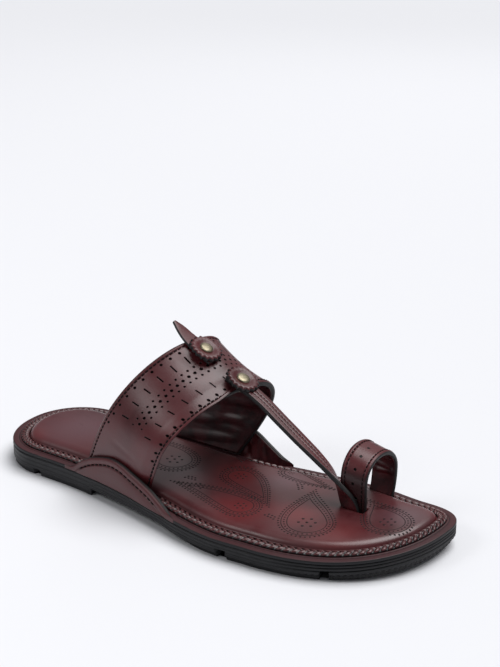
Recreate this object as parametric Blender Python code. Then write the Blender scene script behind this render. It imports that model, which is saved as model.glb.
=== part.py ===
"""A right-foot kolhapuri sandal: rubber outsole, leather midsole, braid, padded insole, instep band,
thong, toe ring, side flaps, rosettes and rivets. Metres; +X is the outer side of the foot, +Y the toe."""
import bpy
import bmesh
import numpy as np
from mathutils import Vector

for old in list(bpy.context.scene.objects):
    bpy.data.objects.remove(old, do_unlink=True)

MM = 0.001
GAP = 0.3 * MM

# Driving sizes of the last
LENGTH = 288 * MM
BALL_WIDTH = 104 * MM
HEEL_RADIUS = 36 * MM
HEEL_CENTRE_X = -1 * MM
HEEL_SQUARE = 2.1
TOE_CENTRE_X = -20 * MM
TOE_LATERAL_DEPTH = 82 * MM
TOE_LATERAL_SQUARE = 2.15
TOE_MEDIAL_DEPTH = 30 * MM
TOE_MEDIAL_SQUARE = 2.4

# Sides of the sole: share of LENGTH, then the outer and the inner side's distance as shares of BALL_WIDTH
SIDES = (
    (0.000, 0.375, 0.350),
    (0.140, 0.375, 0.360),
    (0.226, 0.377, 0.356),
    (0.313, 0.399, 0.346),
    (0.400, 0.433, 0.341),
    (0.486, 0.476, 0.351),
    (0.573, 0.524, 0.380),
    (0.642, 0.543, 0.413),
    (0.715, 0.529, 0.442),
    (0.820, 0.512, 0.457),
    (0.900, 0.510, 0.426),
    (1.000, 0.510, 0.420),
)

# Heights of the sole
RIM_HEEL = 13.9 * MM
RIM_FORE = 11.4 * MM
RIM_FALL = (90 * MM, 180 * MM)
MIDSOLE_THICK = 1.9 * MM
SPRING_START = 228 * MM
TOE_SPRING = 3.7 * MM
HEEL_BREAST = 84 * MM
SHANK_END = 138 * MM
FORE_FLAT = 178 * MM
SHANK_HEIGHT = 4.2 * MM
TREAD_HEIGHT = 3.1 * MM
TREAD_INSET = 1.7 * MM
HEEL_INSET = 0.7 * MM
GROOVE_DEPTH = 0.7 * MM
GROOVE_FADE = (215 * MM, 250 * MM)

# Bands of the sole's top, measured in from the outline
BRAID_OUTER = 5.3 * MM
BRAID_INNER = 10.2 * MM
BRAID_HEIGHT = 1.9 * MM
BRAID_RIDGE = 0.35 * MM
INSOLE_INSET = 10.9 * MM
INSOLE_THICK = 4.2 * MM
INSOLE_CROWN = 0.9 * MM

# Straps
BAND_THICK = 2.8 * MM
LEG_EASE = 2.0
BAND_SADDLE = 2.0 * MM
RING_THICK = 2.6 * MM
THONG_THICK = 2.6 * MM
FLAP_THICK = 2.5 * MM

# Rosettes and rivets
ROSETTE_RADIUS = 10.1 * MM
ROSETTE_THICK = 1.6 * MM
ROSETTE_COUNT = 18
ROSETTE_VALLEY = 0.88
RIVET_RADIUS = 4.1 * MM
RIVET_DOME = 2.2 * MM
RIVET_SHANK = 1.6 * MM
RIVET_HOLE = 2.0 * MM


def smooth_step(x, start, end):
    t = np.clip((np.asarray(x, float) - start) / (end - start), 0.0, 1.0)
    return t * t * (3.0 - 2.0 * t)


def through(xs, ys, x):
    """A smooth curve through the table's points: cubic pieces whose slopes are the central differences."""
    xs = np.asarray(xs, float)
    ys = np.asarray(ys, float)
    slopes = np.gradient(ys, xs)
    x = np.clip(x, xs[0], xs[-1])
    i = np.clip(np.searchsorted(xs, x, side="right") - 1, 0, len(xs) - 2)
    h = xs[i + 1] - xs[i]
    t = (x - xs[i]) / h
    start = (1 + 2 * t) * (1 - t) ** 2 * ys[i] + t * (1 - t) ** 2 * h * slopes[i]
    return start + t * t * (3 - 2 * t) * ys[i + 1] + t * t * (t - 1) * h * slopes[i + 1]


def end_round(distance, depth, square):
    """1 where the side runs free and 0 at the tip, as a superellipse of this depth."""
    t = np.clip(np.asarray(distance, float) / depth, 0.0, 1.0)
    return (1.0 - t**square) ** (1.0 / square)


def side_x(y, side):
    """The outline's x at y: side +1 is the outer side, -1 the inner one."""
    y = np.asarray(y, float)
    along, lateral, medial = zip(*SIDES)
    share = through(along, lateral if side > 0 else medial, y / LENGTH)
    x = side * share * BALL_WIDTH
    depth = TOE_LATERAL_DEPTH if side > 0 else TOE_MEDIAL_DEPTH
    square = TOE_LATERAL_SQUARE if side > 0 else TOE_MEDIAL_SQUARE
    toe = end_round(y - (LENGTH - depth), depth, square)
    heel = end_round(HEEL_RADIUS - y, HEEL_RADIUS, HEEL_SQUARE)
    x = TOE_CENTRE_X + (x - TOE_CENTRE_X) * toe
    return HEEL_CENTRE_X + (x - HEEL_CENTRE_X) * heel


def stations(extra=()):
    """Places along the sole, close together where the two ends turn."""
    heel = HEEL_RADIUS * (1 - np.cos(np.linspace(0, np.pi / 2, 10)))
    start = LENGTH - TOE_LATERAL_DEPTH
    toe = start + TOE_LATERAL_DEPTH * np.sin(np.linspace(0, np.pi / 2, 15))
    middle = np.arange(HEEL_RADIUS + 9 * MM, start - 4 * MM, 9 * MM)
    found = np.sort(np.concatenate([heel, middle, toe]))
    for y in extra:
        found = found[np.abs(found - y) > 2 * MM]
        found = np.sort(np.append(found, y))
    return found


def outline(ys):
    """The closed outline as points, up the outer side from the heel and back down the inner side."""
    lateral = np.stack([side_x(ys, 1), ys], 1)
    medial = np.stack([side_x(ys[1:-1], -1), ys[1:-1]], 1)[::-1]
    return np.concatenate([lateral, medial])


def inward(points):
    """Unit vectors into the closed outline, which runs counter-clockwise."""
    ahead = np.roll(points, -1, 0) - np.roll(points, 1, 0)
    ahead /= np.linalg.norm(ahead, axis=1)[:, None]
    return np.stack([-ahead[:, 1], ahead[:, 0]], 1)


def spring(y):
    share = np.clip((np.asarray(y) - SPRING_START) / (LENGTH - SPRING_START), 0, 1.1)
    return TOE_SPRING * share**2


def rim_top(y):
    fall = (RIM_HEEL - RIM_FORE) * smooth_step(y, *RIM_FALL)
    return RIM_HEEL - fall + spring(y)


def outsole_top(y):
    return rim_top(y) - MIDSOLE_THICK - GAP


def sole_bottom(y):
    step = smooth_step(y, HEEL_BREAST, HEEL_BREAST + 1.5 * MM)
    return SHANK_HEIGHT * step * (1 - smooth_step(y, SHANK_END, FORE_FLAT)) + spring(y)


def leather(name, colour, roughness, metallic=0.0):
    made = bpy.data.materials.new(name)
    made.use_nodes = True
    shader = made.node_tree.nodes["Principled BSDF"]
    shader.inputs["Base Color"].default_value = (*colour, 1.0)
    shader.inputs["Roughness"].default_value = roughness
    shader.inputs["Metallic"].default_value = metallic
    return made


RUBBER = leather("black_rubber", (0.022, 0.022, 0.027), 0.6)
RIM_LEATHER = leather("rim_leather", (0.11, 0.045, 0.042), 0.5)
BRAID_LEATHER = leather("braid_leather", (0.10, 0.045, 0.045), 0.5)
INSOLE_LEATHER = leather("insole_leather", (0.115, 0.035, 0.035), 0.35)
STRAP_LEATHER = leather("strap_leather", (0.12, 0.045, 0.045), 0.4)
BRASS = leather("antique_brass", (0.42, 0.35, 0.22), 0.3, 1.0)

root = bpy.data.objects.new("sandal_root", None)
bpy.context.scene.collection.objects.link(root)


def make_object(name, mesh, material, helper=False):
    obj = bpy.data.objects.new(name, mesh)
    bpy.context.scene.collection.objects.link(obj)
    obj.parent = root
    mesh.materials.append(material)
    mesh.shade_smooth()
    mesh.set_sharp_from_angle(angle=0.7)
    if helper:
        obj.hide_render = True
        obj.display_type = "WIRE"
    return obj


def from_bmesh(name, shape, material, helper=False):
    bmesh.ops.remove_doubles(shape, verts=shape.verts, dist=0.01 * MM)
    bmesh.ops.recalc_face_normals(shape, faces=shape.faces)
    bmesh.ops.triangulate(shape, faces=[f for f in shape.faces if len(f.verts) > 4])
    mesh = bpy.data.meshes.new(name)
    shape.to_mesh(mesh)
    shape.free()
    return make_object(name, mesh, material, helper)


def loft(name, rings, material, closed=False, caps="fill", helper=False):
    """A skin over rings of equal count. caps: fill closes each end with one face, pairs with strips from
    side to side, as suits an outline of the sole. closed joins the last ring to the first instead."""
    rings = np.asarray(rings, float)
    count, around = rings.shape[:2]
    shape = bmesh.new()
    verts = [[shape.verts.new(p) for p in ring] for ring in rings]
    for r in range(count if closed else count - 1):
        low = verts[r]
        high = verts[(r + 1) % count]
        for i in range(around):
            j = (i + 1) % around
            shape.faces.new((low[i], low[j], high[j], high[i]))
    if not closed:
        for ring in (verts[0], verts[-1]):
            if caps == "fill":
                shape.faces.new(ring)
                continue
            for i in range(around // 2):
                a, b = ring[i], ring[i + 1]
                c, d = ring[(-i - 1) % around], ring[-i % around]
                corners = list(dict.fromkeys((a, b, c, d)))
                if len(corners) > 2:
                    shape.faces.new(corners)
    return from_bmesh(name, shape, material, helper)


def lathe(name, profile, material, place, normal, segments=16, helper=False):
    """A profile of (radius, height) pairs turned round its axis, stood at place along normal."""
    axis = Vector(normal).normalized()
    turn = Vector((0, 0, 1)).rotation_difference(axis)
    angles = np.linspace(0, 2 * np.pi, segments, endpoint=False)
    rings = []
    for radius, height in profile:
        ring = [turn @ Vector((radius * np.cos(a), radius * np.sin(a), height)) for a in angles]
        rings.append([Vector(place) + p for p in ring])
    return loft(name, rings, material, helper=helper)


def box(name, low, high):
    """A cutter box between two corners."""
    shape = bmesh.new()
    bmesh.ops.create_cube(shape, size=1.0)
    size = Vector(high) - Vector(low)
    bmesh.ops.scale(shape, vec=size, verts=shape.verts)
    mesh = bpy.data.meshes.new(name)
    shape.to_mesh(mesh)
    shape.free()
    obj = make_object(name, mesh, RUBBER, helper=True)
    obj.location = (Vector(high) + Vector(low)) / 2
    return obj


def combine(obj, other, operation):
    modifier = obj.modifiers.new(other.name, "BOOLEAN")
    modifier.operation = operation
    modifier.object = other


def sole_ring(ys, inset, height):
    """One ring of the sole: inset is a length or a function of y, height a function of y."""
    points = outline(ys)
    depth = inset(points[:, 1], points[:, 0]) if callable(inset) else inset
    moved = points + inward(points) * np.reshape(depth, (-1, 1))
    return np.column_stack([moved, height(points[:, 1])])


# Outsole. Rows of its side: share of the wall's height above the tread step, and the depth as a share of a groove
WALL_ROWS = ((0.08, 0.0), (0.34, 0.0), (0.42, 1.0), (0.50, 0.0), (0.68, 0.0), (0.76, 1.0), (0.84, 0.0), (1.0, 0.2))

# Notches in the side: inner or outer side, from and to as shares of LENGTH, depth inward from the outline in mm
NOTCHES = (
    (1, 0.118, 0.146, 5),
    (1, 0.653, 0.674, 6),
    (1, 0.858, 0.872, 6),
    (-1, 0.060, 0.085, 5),
    (-1, 0.160, 0.185, 5),
    (-1, 0.690, 0.712, 6),
)


def tread_inset(y, x):
    return HEEL_INSET + (TREAD_INSET - HEEL_INSET) * smooth_step(y, SHANK_END, FORE_FLAT)


def wall_foot(y):
    return np.maximum(sole_bottom(y) + 0.6 * MM, TREAD_HEIGHT + spring(y))


def groove_depth(y, x):
    return GROOVE_DEPTH * (0.35 + 0.65 * smooth_step(y, *GROOVE_FADE))


def sole_stations():
    return stations((HEEL_BREAST, HEEL_BREAST + 1.5 * MM, SHANK_END, FORE_FLAT))


def make_outsole():
    ys = sole_stations()
    rings = [sole_ring(ys, tread_inset, sole_bottom)]
    rings.append(sole_ring(ys, tread_inset, lambda y: wall_foot(y) - 0.1 * MM))
    for share, deep in WALL_ROWS:
        def height(y, share=share):
            return wall_foot(y) + share * (outsole_top(y) - wall_foot(y))

        def inset(y, x, deep=deep):
            return deep * groove_depth(y, x)

        rings.append(sole_ring(ys, inset, height))
    outsole = loft("outsole", rings, RUBBER, caps="pairs")
    for i, (side, start, end, depth) in enumerate(NOTCHES):
        low, high = start * LENGTH, end * LENGTH
        edge = side_x((low + high) / 2, side)
        across = sorted((edge - side * depth * MM, edge + side * 6 * MM))
        top = 2 * TREAD_HEIGHT
        cutter = box(f"cut_notch_{i}", (across[0], low, -2 * MM), (across[1], high, top))
        combine(outsole, cutter, "DIFFERENCE")


# Side flaps: share of LENGTH, crest height and lean outward in mm at the crest
FLAP_LATERAL = (
    (0.222, 13.0, 0.0),
    (0.243, 15.0, -0.6),
    (0.267, 20.0, -1.0),
    (0.292, 24.0, -1.3),
    (0.325, 27.3, -1.5),
    (0.356, 29.0, -1.6),
    (0.384, 28.0, -1.8),
    (0.413, 25.3, -2.1),
    (0.443, 22.7, -2.2),
    (0.472, 20.0, -2.0),
    (0.500, 16.5, -1.5),
    (0.528, 13.2, -0.6),
    (0.545, 12.0, 0.0),
)
FLAP_MEDIAL = (
    (0.243, 13.5, 0.0),
    (0.278, 18.0, 2.2),
    (0.313, 23.5, 4.6),
    (0.355, 28.5, 6.6),
    (0.410, 31.0, 7.4),
    (0.465, 29.5, 7.3),
    (0.510, 26.5, 6.2),
    (0.543, 21.6, 3.8),
    (0.580, 15.6, 1.2),
    (0.600, 12.6, 0.0),
)


def flap_recess(y, x):
    """How far the midsole steps in, so that a flap's foot stands on the outsole beside it."""
    table = np.where(x > 0, FLAP_LATERAL[0][0], FLAP_MEDIAL[0][0]) * LENGTH
    last = np.where(x > 0, FLAP_LATERAL[-1][0], FLAP_MEDIAL[-1][0]) * LENGTH
    rise = np.clip((y - table) / (3 * MM) + 1, 0, 1) * np.clip((last - y) / (3 * MM) + 1, 0, 1)
    return (FLAP_THICK + 1.8 * GAP) * rise


def make_midsole():
    ends = [row[0] * LENGTH for row in (FLAP_LATERAL[0], FLAP_LATERAL[-1], FLAP_MEDIAL[0], FLAP_MEDIAL[-1])]
    extra = [y for end in ends for y in (end - 3 * MM, end, end + 3 * MM)]
    ys = stations(extra)
    rows = ((0.0, 0.25), (0.15, 0.0), (0.75, 0.0), (1.0, 0.35))
    rings = []
    for share, inset in rows:
        def height(y, share=share):
            return rim_top(y) - MIDSOLE_THICK * (1 - share)

        rings.append(sole_ring(ys, lambda y, x, inset=inset: flap_recess(y, x) + inset * MM, height))
    loft("midsole", rings, RIM_LEATHER, caps="pairs")


# Braid: section of the strip as share of its width and of its height
BRAID_SECTION = ((0.0, 0.0), (0.05, 0.55), (0.3, 0.95), (0.6, 1.0), (0.9, 0.7), (1.0, 0.0))
BRAID_PITCH = 7.5 * MM
# Where the braid stops under the band, as shares of LENGTH
BRAID_GAPS = {"lateral": (0.2535, 0.4549), "medial": (0.2951, 0.5035)}


def make_braid(name, front):
    """A strip along the rim whose height rises and falls in ridges."""
    ys = np.sort(np.concatenate([stations(), stations()[:-1] + np.diff(stations()) / 2]))
    points = outline(ys)
    step = np.linalg.norm(np.roll(points, -1, 0) - points, axis=1)
    along = np.concatenate([[0], np.cumsum(step)[:-1]])
    total = step.sum()
    normals = inward(points)
    places = np.arange(0, total, BRAID_PITCH / 2)
    loop = np.append(along, total)

    def at(values):
        return np.interp(places, loop, np.append(values, values[0]))

    x, y = at(points[:, 0]), at(points[:, 1])
    nx, ny = at(normals[:, 0]), at(normals[:, 1])
    high = np.where(np.arange(len(places)) % 2, 0.0, BRAID_RIDGE)
    low_end = LENGTH * np.where(x > 0, BRAID_GAPS["lateral"][0], BRAID_GAPS["medial"][0])
    high_end = LENGTH * np.where(x > 0, BRAID_GAPS["lateral"][1], BRAID_GAPS["medial"][1])
    kept = y > high_end if front else y < low_end
    if not front:
        half = len(places) // 2
        order = np.r_[half:len(places), 0:half]
    else:
        order = np.arange(len(places))
    rings = []
    for i in order[kept[order]]:
        floor = rim_top(y[i]) + GAP
        ring = []
        for across, tall in BRAID_SECTION:
            inset = BRAID_OUTER + across * (BRAID_INNER - BRAID_OUTER)
            rise = tall * (BRAID_HEIGHT + high[i])
            ring.append((x[i] + nx[i] * inset, y[i] + ny[i] * inset, floor + rise))
        rings.append(ring)
    return loft(name, rings, BRAID_LEATHER)


# Insole: rows of its rounded side, as extra inset in mm and share of its thickness
INSOLE_ROWS = ((0.6, 0.0), (0.0, 0.2), (0.0, 0.5), (0.7, 0.75), (2.2, 0.93), (5.0, 1.0))
INSOLE_CROWN_ROWS = (0.3, 0.6)
INSOLE_SPINE = 0.8


def insole_floor(y):
    return rim_top(y) + GAP


def make_insole():
    ys = stations()
    rings = []
    for extra, share in INSOLE_ROWS:
        rings.append(sole_ring(ys, INSOLE_INSET + extra * MM, lambda y, share=share: insole_floor(y) + share * INSOLE_THICK))
    edge = rings[-1]
    count = len(edge)
    opposite = edge[(-np.arange(count)) % count]
    spine = (edge + opposite) / 2
    spine[:, 1] = LENGTH / 2 + (spine[:, 1] - LENGTH / 2) * INSOLE_SPINE
    for share in INSOLE_CROWN_ROWS:
        ring = edge * (1 - share) + spine * share
        ring[:, 2] = insole_floor(ring[:, 1]) + INSOLE_THICK + INSOLE_CROWN * (1 - (1 - share) ** 2)
        rings.append(ring)
    return loft("insole", rings, INSOLE_LEATHER, caps="pairs")


def arch(foot_a, foot_b, side_a, side_b, side_z, top, square_a, square_b, ease_b, points):
    """An arch in x and z from one foot to the other, as equal steps along its length. Feet are (x, z); above
    side_z it is two superellipse quarters that meet at top (x, z), and below each leg eases out to its side."""
    def leg(foot, side, ease):
        t = np.linspace(0, 1, 12)
        x = side + (foot[0] - side) * (1 - t) ** ease
        return np.stack([x, foot[1] + (side_z - foot[1]) * t], 1)

    def quarter(side, square):
        a = np.linspace(0, np.pi / 2, 40)
        x = top[0] + (side - top[0]) * np.cos(a) ** (2 / square)
        return np.stack([x, side_z + (top[1] - side_z) * np.sin(a) ** (2 / square)], 1)

    first = np.concatenate([leg(foot_a, side_a, LEG_EASE), quarter(side_a, square_a)[1:]])
    second = np.concatenate([leg(foot_b, side_b, ease_b), quarter(side_b, square_b)[1:]])[::-1]
    path = np.concatenate([first, second[1:]])
    step = np.concatenate([[0], np.cumsum(np.linalg.norm(np.diff(path, axis=0), axis=1))])
    wanted = np.linspace(0, step[-1], points)
    return np.stack([np.interp(wanted, step, path[:, 0]), np.interp(wanted, step, path[:, 1])], 1)


def strap_over(name, rear, front, across, dip, thick, helper=False):
    """A strap between two arches of the same count, with rounded edges and its inner face a thickness inside.
    across holds the shares of the width at which it has points, dip the hollow of its middle at the top."""
    rear = np.asarray(rear)
    front = np.asarray(front)
    count = len(rear)
    hollow = np.sin(np.linspace(0, np.pi, count)) ** 2
    rows = []
    for v in across:
        row = rear * (1 - v) + front * v
        row[:, 2] -= dip * np.sin(np.pi * v) * hollow
        rows.append(row)
    outer = np.stack(rows, 1)
    along = np.gradient(outer, axis=0)
    wide = np.gradient(outer, axis=1)
    normal = np.cross(along, wide)
    normal /= np.linalg.norm(normal, axis=2)[:, :, None]
    inner = outer + normal * thick
    middle = (outer + inner) / 2
    edge_rear = middle[:, :1] - wide[:, :1] / np.linalg.norm(wide[:, :1], axis=2)[:, :, None] * thick * 0.3
    edge_front = middle[:, -1:] + wide[:, -1:] / np.linalg.norm(wide[:, -1:], axis=2)[:, :, None] * thick * 0.3
    rings = np.concatenate([edge_rear, outer, edge_front, inner[:, ::-1]], axis=1)
    return loft(name, rings, STRAP_LEATHER, helper=helper)


# Instep band: sizes in x and z of its two edges, and the leaning planes that they lie in
BAND_REAR = {
    "foot_a": (34.6 * MM, 14.3 * MM),
    "foot_b": (-31.6 * MM, 14.3 * MM),
    "side_a": 37.2 * MM,
    "side_b": -38.8 * MM,
    "side_z": 44 * MM,
    "top": (-8 * MM, 90.4 * MM),
    "square_a": 2.0,
    "square_b": 3.4,
    "ease_b": 1.5,
}
BAND_FRONT = {
    "foot_a": (40.0 * MM, 13.6 * MM),
    "foot_b": (-33.8 * MM, 13.3 * MM),
    "side_a": 43.4 * MM,
    "side_b": -43.8 * MM,
    "side_z": 40 * MM,
    "top": (-2 * MM, 71 * MM),
    "square_a": 2.0,
    "square_b": 2.7,
    "ease_b": 1.4,
}
BAND_REAR_PLANE = (76.8 * MM, -0.20, 0.50)
BAND_FRONT_PLANE = (127.3 * MM, -0.158, 0.446)
BAND_STEPS = 37
BAND_ACROSS = (0.0, 0.02, 0.25, 0.5, 0.75, 0.98, 1.0)


def in_plane(points, plane):
    """The points (x, z) laid in the plane y = first + second x + third z."""
    y = plane[0] + plane[1] * points[:, 0] + plane[2] * points[:, 1]
    return np.stack([points[:, 0], y, points[:, 1]], 1)


def band_edge(edge, plane):
    return in_plane(arch(points=BAND_STEPS, **edge), plane)


# Toe ring: its two edges, and how its rear edge leans back from the feet upward
RING_REAR = {
    "foot_a": (-7.6 * MM, 12.5 * MM),
    "foot_b": (-40.0 * MM, 12.4 * MM),
    "side_a": -7.2 * MM,
    "side_b": -43.4 * MM,
    "side_z": 32 * MM,
    "top": (-24 * MM, 48.2 * MM),
    "square_a": 2.1,
    "square_b": 2.1,
    "ease_b": 2.0,
}
RING_FRONT = {
    "foot_a": (-8.2 * MM, 12.5 * MM),
    "foot_b": (-39.9 * MM, 12.4 * MM),
    "side_a": -8.4 * MM,
    "side_b": -43.5 * MM,
    "side_z": 30 * MM,
    "top": (-25 * MM, 44.4 * MM),
    "square_a": 2.1,
    "square_b": 2.1,
    "ease_b": 2.0,
}
RING_REAR_Y = (232.5 * MM, 227 * MM)
RING_FAR_FOOT_Y = 227.5 * MM
RING_FRONT_Y = 241 * MM
RING_STEPS = 27
RING_ACROSS = (0.0, 0.05, 0.5, 0.95, 1.0)


def ring_edges():
    rear = arch(points=RING_STEPS, **RING_REAR)
    front = arch(points=RING_STEPS, **RING_FRONT)
    lean = smooth_step(rear[:, 1], RING_REAR["foot_a"][1], RING_REAR["side_z"])
    foot_y = np.where(rear[:, 0] > RING_REAR["top"][0], RING_REAR_Y[0], RING_FAR_FOOT_Y)
    rear_y = foot_y + (RING_REAR_Y[1] - foot_y) * lean
    front_y = np.full(RING_STEPS, RING_FRONT_Y)
    return (
        np.stack([rear[:, 0], rear_y, rear[:, 1]], 1),
        np.stack([front[:, 0], front_y, front[:, 1]], 1),
    )


# Thong: centre of the strip in mm, its width and how far it has turned on edge
THONG = (
    # x, y, z, width, turn
    (-8.0, 151.5, 74.9, 10.0, 0.00),
    (-8.0, 160.0, 71.6, 10.0, 0.00),
    (-8.0, 167.3, 68.6, 9.5, 0.00),
    (-8.0, 173.5, 65.3, 9.2, 0.00),
    (-8.0, 186.8, 56.5, 9.0, 0.00),
    (-8.0, 199.8, 47.9, 9.0, 0.02),
    (-7.9, 211.0, 40.6, 9.0, 0.10),
    (-7.6, 219.5, 34.3, 9.2, 0.26),
    (-7.3, 226.4, 27.0, 10.4, 0.58),
    (-7.0, 231.6, 20.0, 10.6, 0.90),
    (-6.9, 233.9, 16.0, 9.4, 1.00),
    (-6.9, 234.6, 13.5, 8.8, 1.00),
)
THONG_STEPS = 30
TAIL = (
    # x, y, z, width, turn
    (-7.0, 141.0, 82.3, 11.0, 0.00),
    (-7.0, 134.5, 85.9, 11.5, 0.00),
    (-6.8, 127.5, 89.8, 11.0, 0.00),
    (-6.5, 122.0, 93.4, 9.0, 0.00),
    (-6.2, 117.3, 97.3, 6.0, 0.00),
    (-6.0, 113.0, 100.6, 1.4, 0.00),
)
TAIL_THICK = 1.6 * MM
TAIL_STEPS = 12


def ribbon(name, table, steps, thick, helper=False):
    """A strip through the table's centres. Turn 0 lies flat, turn 1 stands on edge, its outer edge up."""
    table = np.asarray(table)
    chord = np.linalg.norm(np.diff(table[:, :3], axis=0), axis=1)
    places = np.concatenate([[0], np.cumsum(chord)])
    wanted = np.linspace(0, places[-1], steps)
    x, y, z, width, turn = (through(places, column, wanted) for column in table.T)
    centre = np.stack([x, y, z], 1) * MM
    ahead = np.gradient(centre, axis=0)
    ahead /= np.linalg.norm(ahead, axis=1)[:, None]
    right = np.tile((1.0, 0.0, 0.0), (steps, 1))
    up = np.cross(right, ahead)
    up /= np.linalg.norm(up, axis=1)[:, None]
    up *= np.sign(up[:, 2:])
    angle = turn * np.pi / 2
    across = right * np.cos(angle)[:, None] + up * np.sin(angle)[:, None]
    face = up * np.cos(angle)[:, None] - right * np.sin(angle)[:, None]
    section = ((-0.5, 0.0), (-0.46, 0.5), (0.0, 0.5), (0.46, 0.5), (0.5, 0.0), (0.46, -0.5), (-0.46, -0.5))
    rings = [
        centre + across * (u * width * MM)[:, None] + face * v * thick
        for u, v in section
    ]
    return loft(name, np.stack(rings, 1), STRAP_LEATHER, helper=helper)


# Where the two rivets stand, from front to rear, on the slope of the band's top
BAND_SLOPE = np.radians(28)
RIVETS = {
    # x, y, z of the top of what lies under the rosette, in mm
    "front": (-8.0, 159.5, 74.1),
    "rear": (-7.0, 134.5, 87.2),
}
SLOPE_NORMAL = Vector((0, np.sin(BAND_SLOPE), np.cos(BAND_SLOPE)))


def rivet_place(which):
    return Vector(RIVETS[which]) * MM


# Rosette: rows from the hole outward, as share of the radius and height in mm above its seat
ROSETTE_TOP = ((0.19, 0.0), (0.45, 0.2), (0.68, 0.9), (0.9, 0.75), (1.0, 0.1))


def make_rosette(which):
    seat = rivet_place(which) + SLOPE_NORMAL * GAP
    turn = Vector((0, 0, 1)).rotation_difference(SLOPE_NORMAL)
    corners = 2 * ROSETTE_COUNT
    angles = np.linspace(0, 2 * np.pi, corners, endpoint=False)
    pinked = np.where(np.arange(corners) % 2, ROSETTE_VALLEY, 1.0)

    def row(share, height, toothed):
        scale = 1 + (pinked - 1) * toothed
        radius = ROSETTE_RADIUS * share * scale
        return [
            seat + turn @ Vector((r * np.cos(a), r * np.sin(a), height))
            for r, a in zip(radius, angles)
        ]

    rings = [row(share, ROSETTE_THICK + rise * MM, share**3) for share, rise in ROSETTE_TOP]
    rings += [row(share, rise * MM, share**3) for share, rise in ROSETTE_TOP[::-1]]
    loft(f"rosette_{which}", rings, STRAP_LEATHER, closed=True)


def make_rivet(which, depth):
    """A dome on the rosette, a shank through the leather and a clench plate under it."""
    angles = np.linspace(0, np.pi / 2, 5)[::-1]
    seat = ROSETTE_THICK + 2.2 * GAP
    dome = [(RIVET_RADIUS * np.cos(a), seat + 0.5 * MM + RIVET_DOME * np.sin(a)) for a in angles[1:]]
    dome = [(0.35 * MM, seat + 0.5 * MM + RIVET_DOME)] + dome
    profile = dome + [
        (RIVET_RADIUS, seat),
        (RIVET_SHANK, seat),
        (RIVET_SHANK, -depth),
        (0.75 * RIVET_RADIUS, -depth),
        (0.6 * RIVET_RADIUS, -depth - 0.7 * MM),
        (0.35 * MM, -depth - 0.8 * MM),
    ]
    lathe(f"rivet_{which}", profile, BRASS, rivet_place(which), SLOPE_NORMAL)


def rivet_cutter(which):
    reach = 12 * MM
    profile = ((RIVET_HOLE, -reach), (RIVET_HOLE, reach))
    return lathe(f"cut_rivet_{which}", profile, BRASS, rivet_place(which), SLOPE_NORMAL, helper=True)


def make_flap(name, side, table, flare):
    """A guard whose foot follows the outline on the outsole and whose crest is rolled."""
    rows = np.asarray(table)
    ys = np.linspace(rows[0, 0], rows[-1, 0], 26) * LENGTH
    crest = through(rows[:, 0] * LENGTH, rows[:, 1] * MM, ys)
    lean = through(rows[:, 0] * LENGTH, rows[:, 2] * MM, ys)
    foot = outsole_top(ys) + GAP
    crest = np.maximum(crest, foot + 0.9 * MM)
    edge = np.stack([side_x(ys, side), ys], 1)
    ahead = np.gradient(edge, axis=0)
    ahead /= np.linalg.norm(ahead, axis=1)[:, None]
    out = side * np.stack([ahead[:, 1], -ahead[:, 0]], 1)
    section = (
        # share of the height, share of the thickness inward, roll outward in mm
        (0.0, 0.0, 0.0),
        (0.35, 0.0, 0.0),
        (0.7, 0.0, 0.0),
        (0.88, 0.0, 0.5),
        (0.97, 0.25, 0.5),
        (1.0, 0.55, 0.3),
        (0.96, 0.95, 0.0),
        (0.7, 1.0, 0.0),
        (0.35, 1.0, 0.0),
        (0.0, 1.0, 0.0),
    )
    rings = []
    for share, deep, roll in section:
        shift = lean * share**flare + roll * MM * np.clip((crest - foot) / (8 * MM), 0, 1) - deep * FLAP_THICK
        plan = edge + out * shift[:, None]
        rings.append(np.column_stack([plan, foot + share * (crest - foot)]))
    loft(name, np.stack(rings, 1), STRAP_LEATHER)


def make_upper():
    rear = band_edge(BAND_REAR, BAND_REAR_PLANE)
    front = band_edge(BAND_FRONT, BAND_FRONT_PLANE)
    upper = strap_over("upper", rear, front, BAND_ACROSS, BAND_SADDLE, BAND_THICK)
    thong = ribbon("join_thong", THONG, THONG_STEPS, THONG_THICK, helper=True)
    ring = strap_over("join_toe_ring", *ring_edges(), RING_ACROSS, 0.0, RING_THICK, helper=True)
    combine(upper, thong, "UNION")
    combine(upper, ring, "UNION")
    return upper


make_outsole()
make_midsole()
braid_front = make_braid("braid_front", True)
make_braid("braid_rear", False)
insole = make_insole()
upper = make_upper()
make_flap("side_flap_lateral", 1, FLAP_LATERAL, 1.4)
make_flap("side_flap_medial", -1, FLAP_MEDIAL, 0.8)
tail = ribbon("tail", TAIL, TAIL_STEPS, TAIL_THICK)
for which, depth in (("front", 7.2 * MM), ("rear", 8.2 * MM)):
    make_rosette(which)
    make_rivet(which, depth)
    combine(upper, rivet_cutter(which), "DIFFERENCE")
combine(tail, bpy.data.objects["cut_rivet_rear"], "DIFFERENCE")

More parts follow.
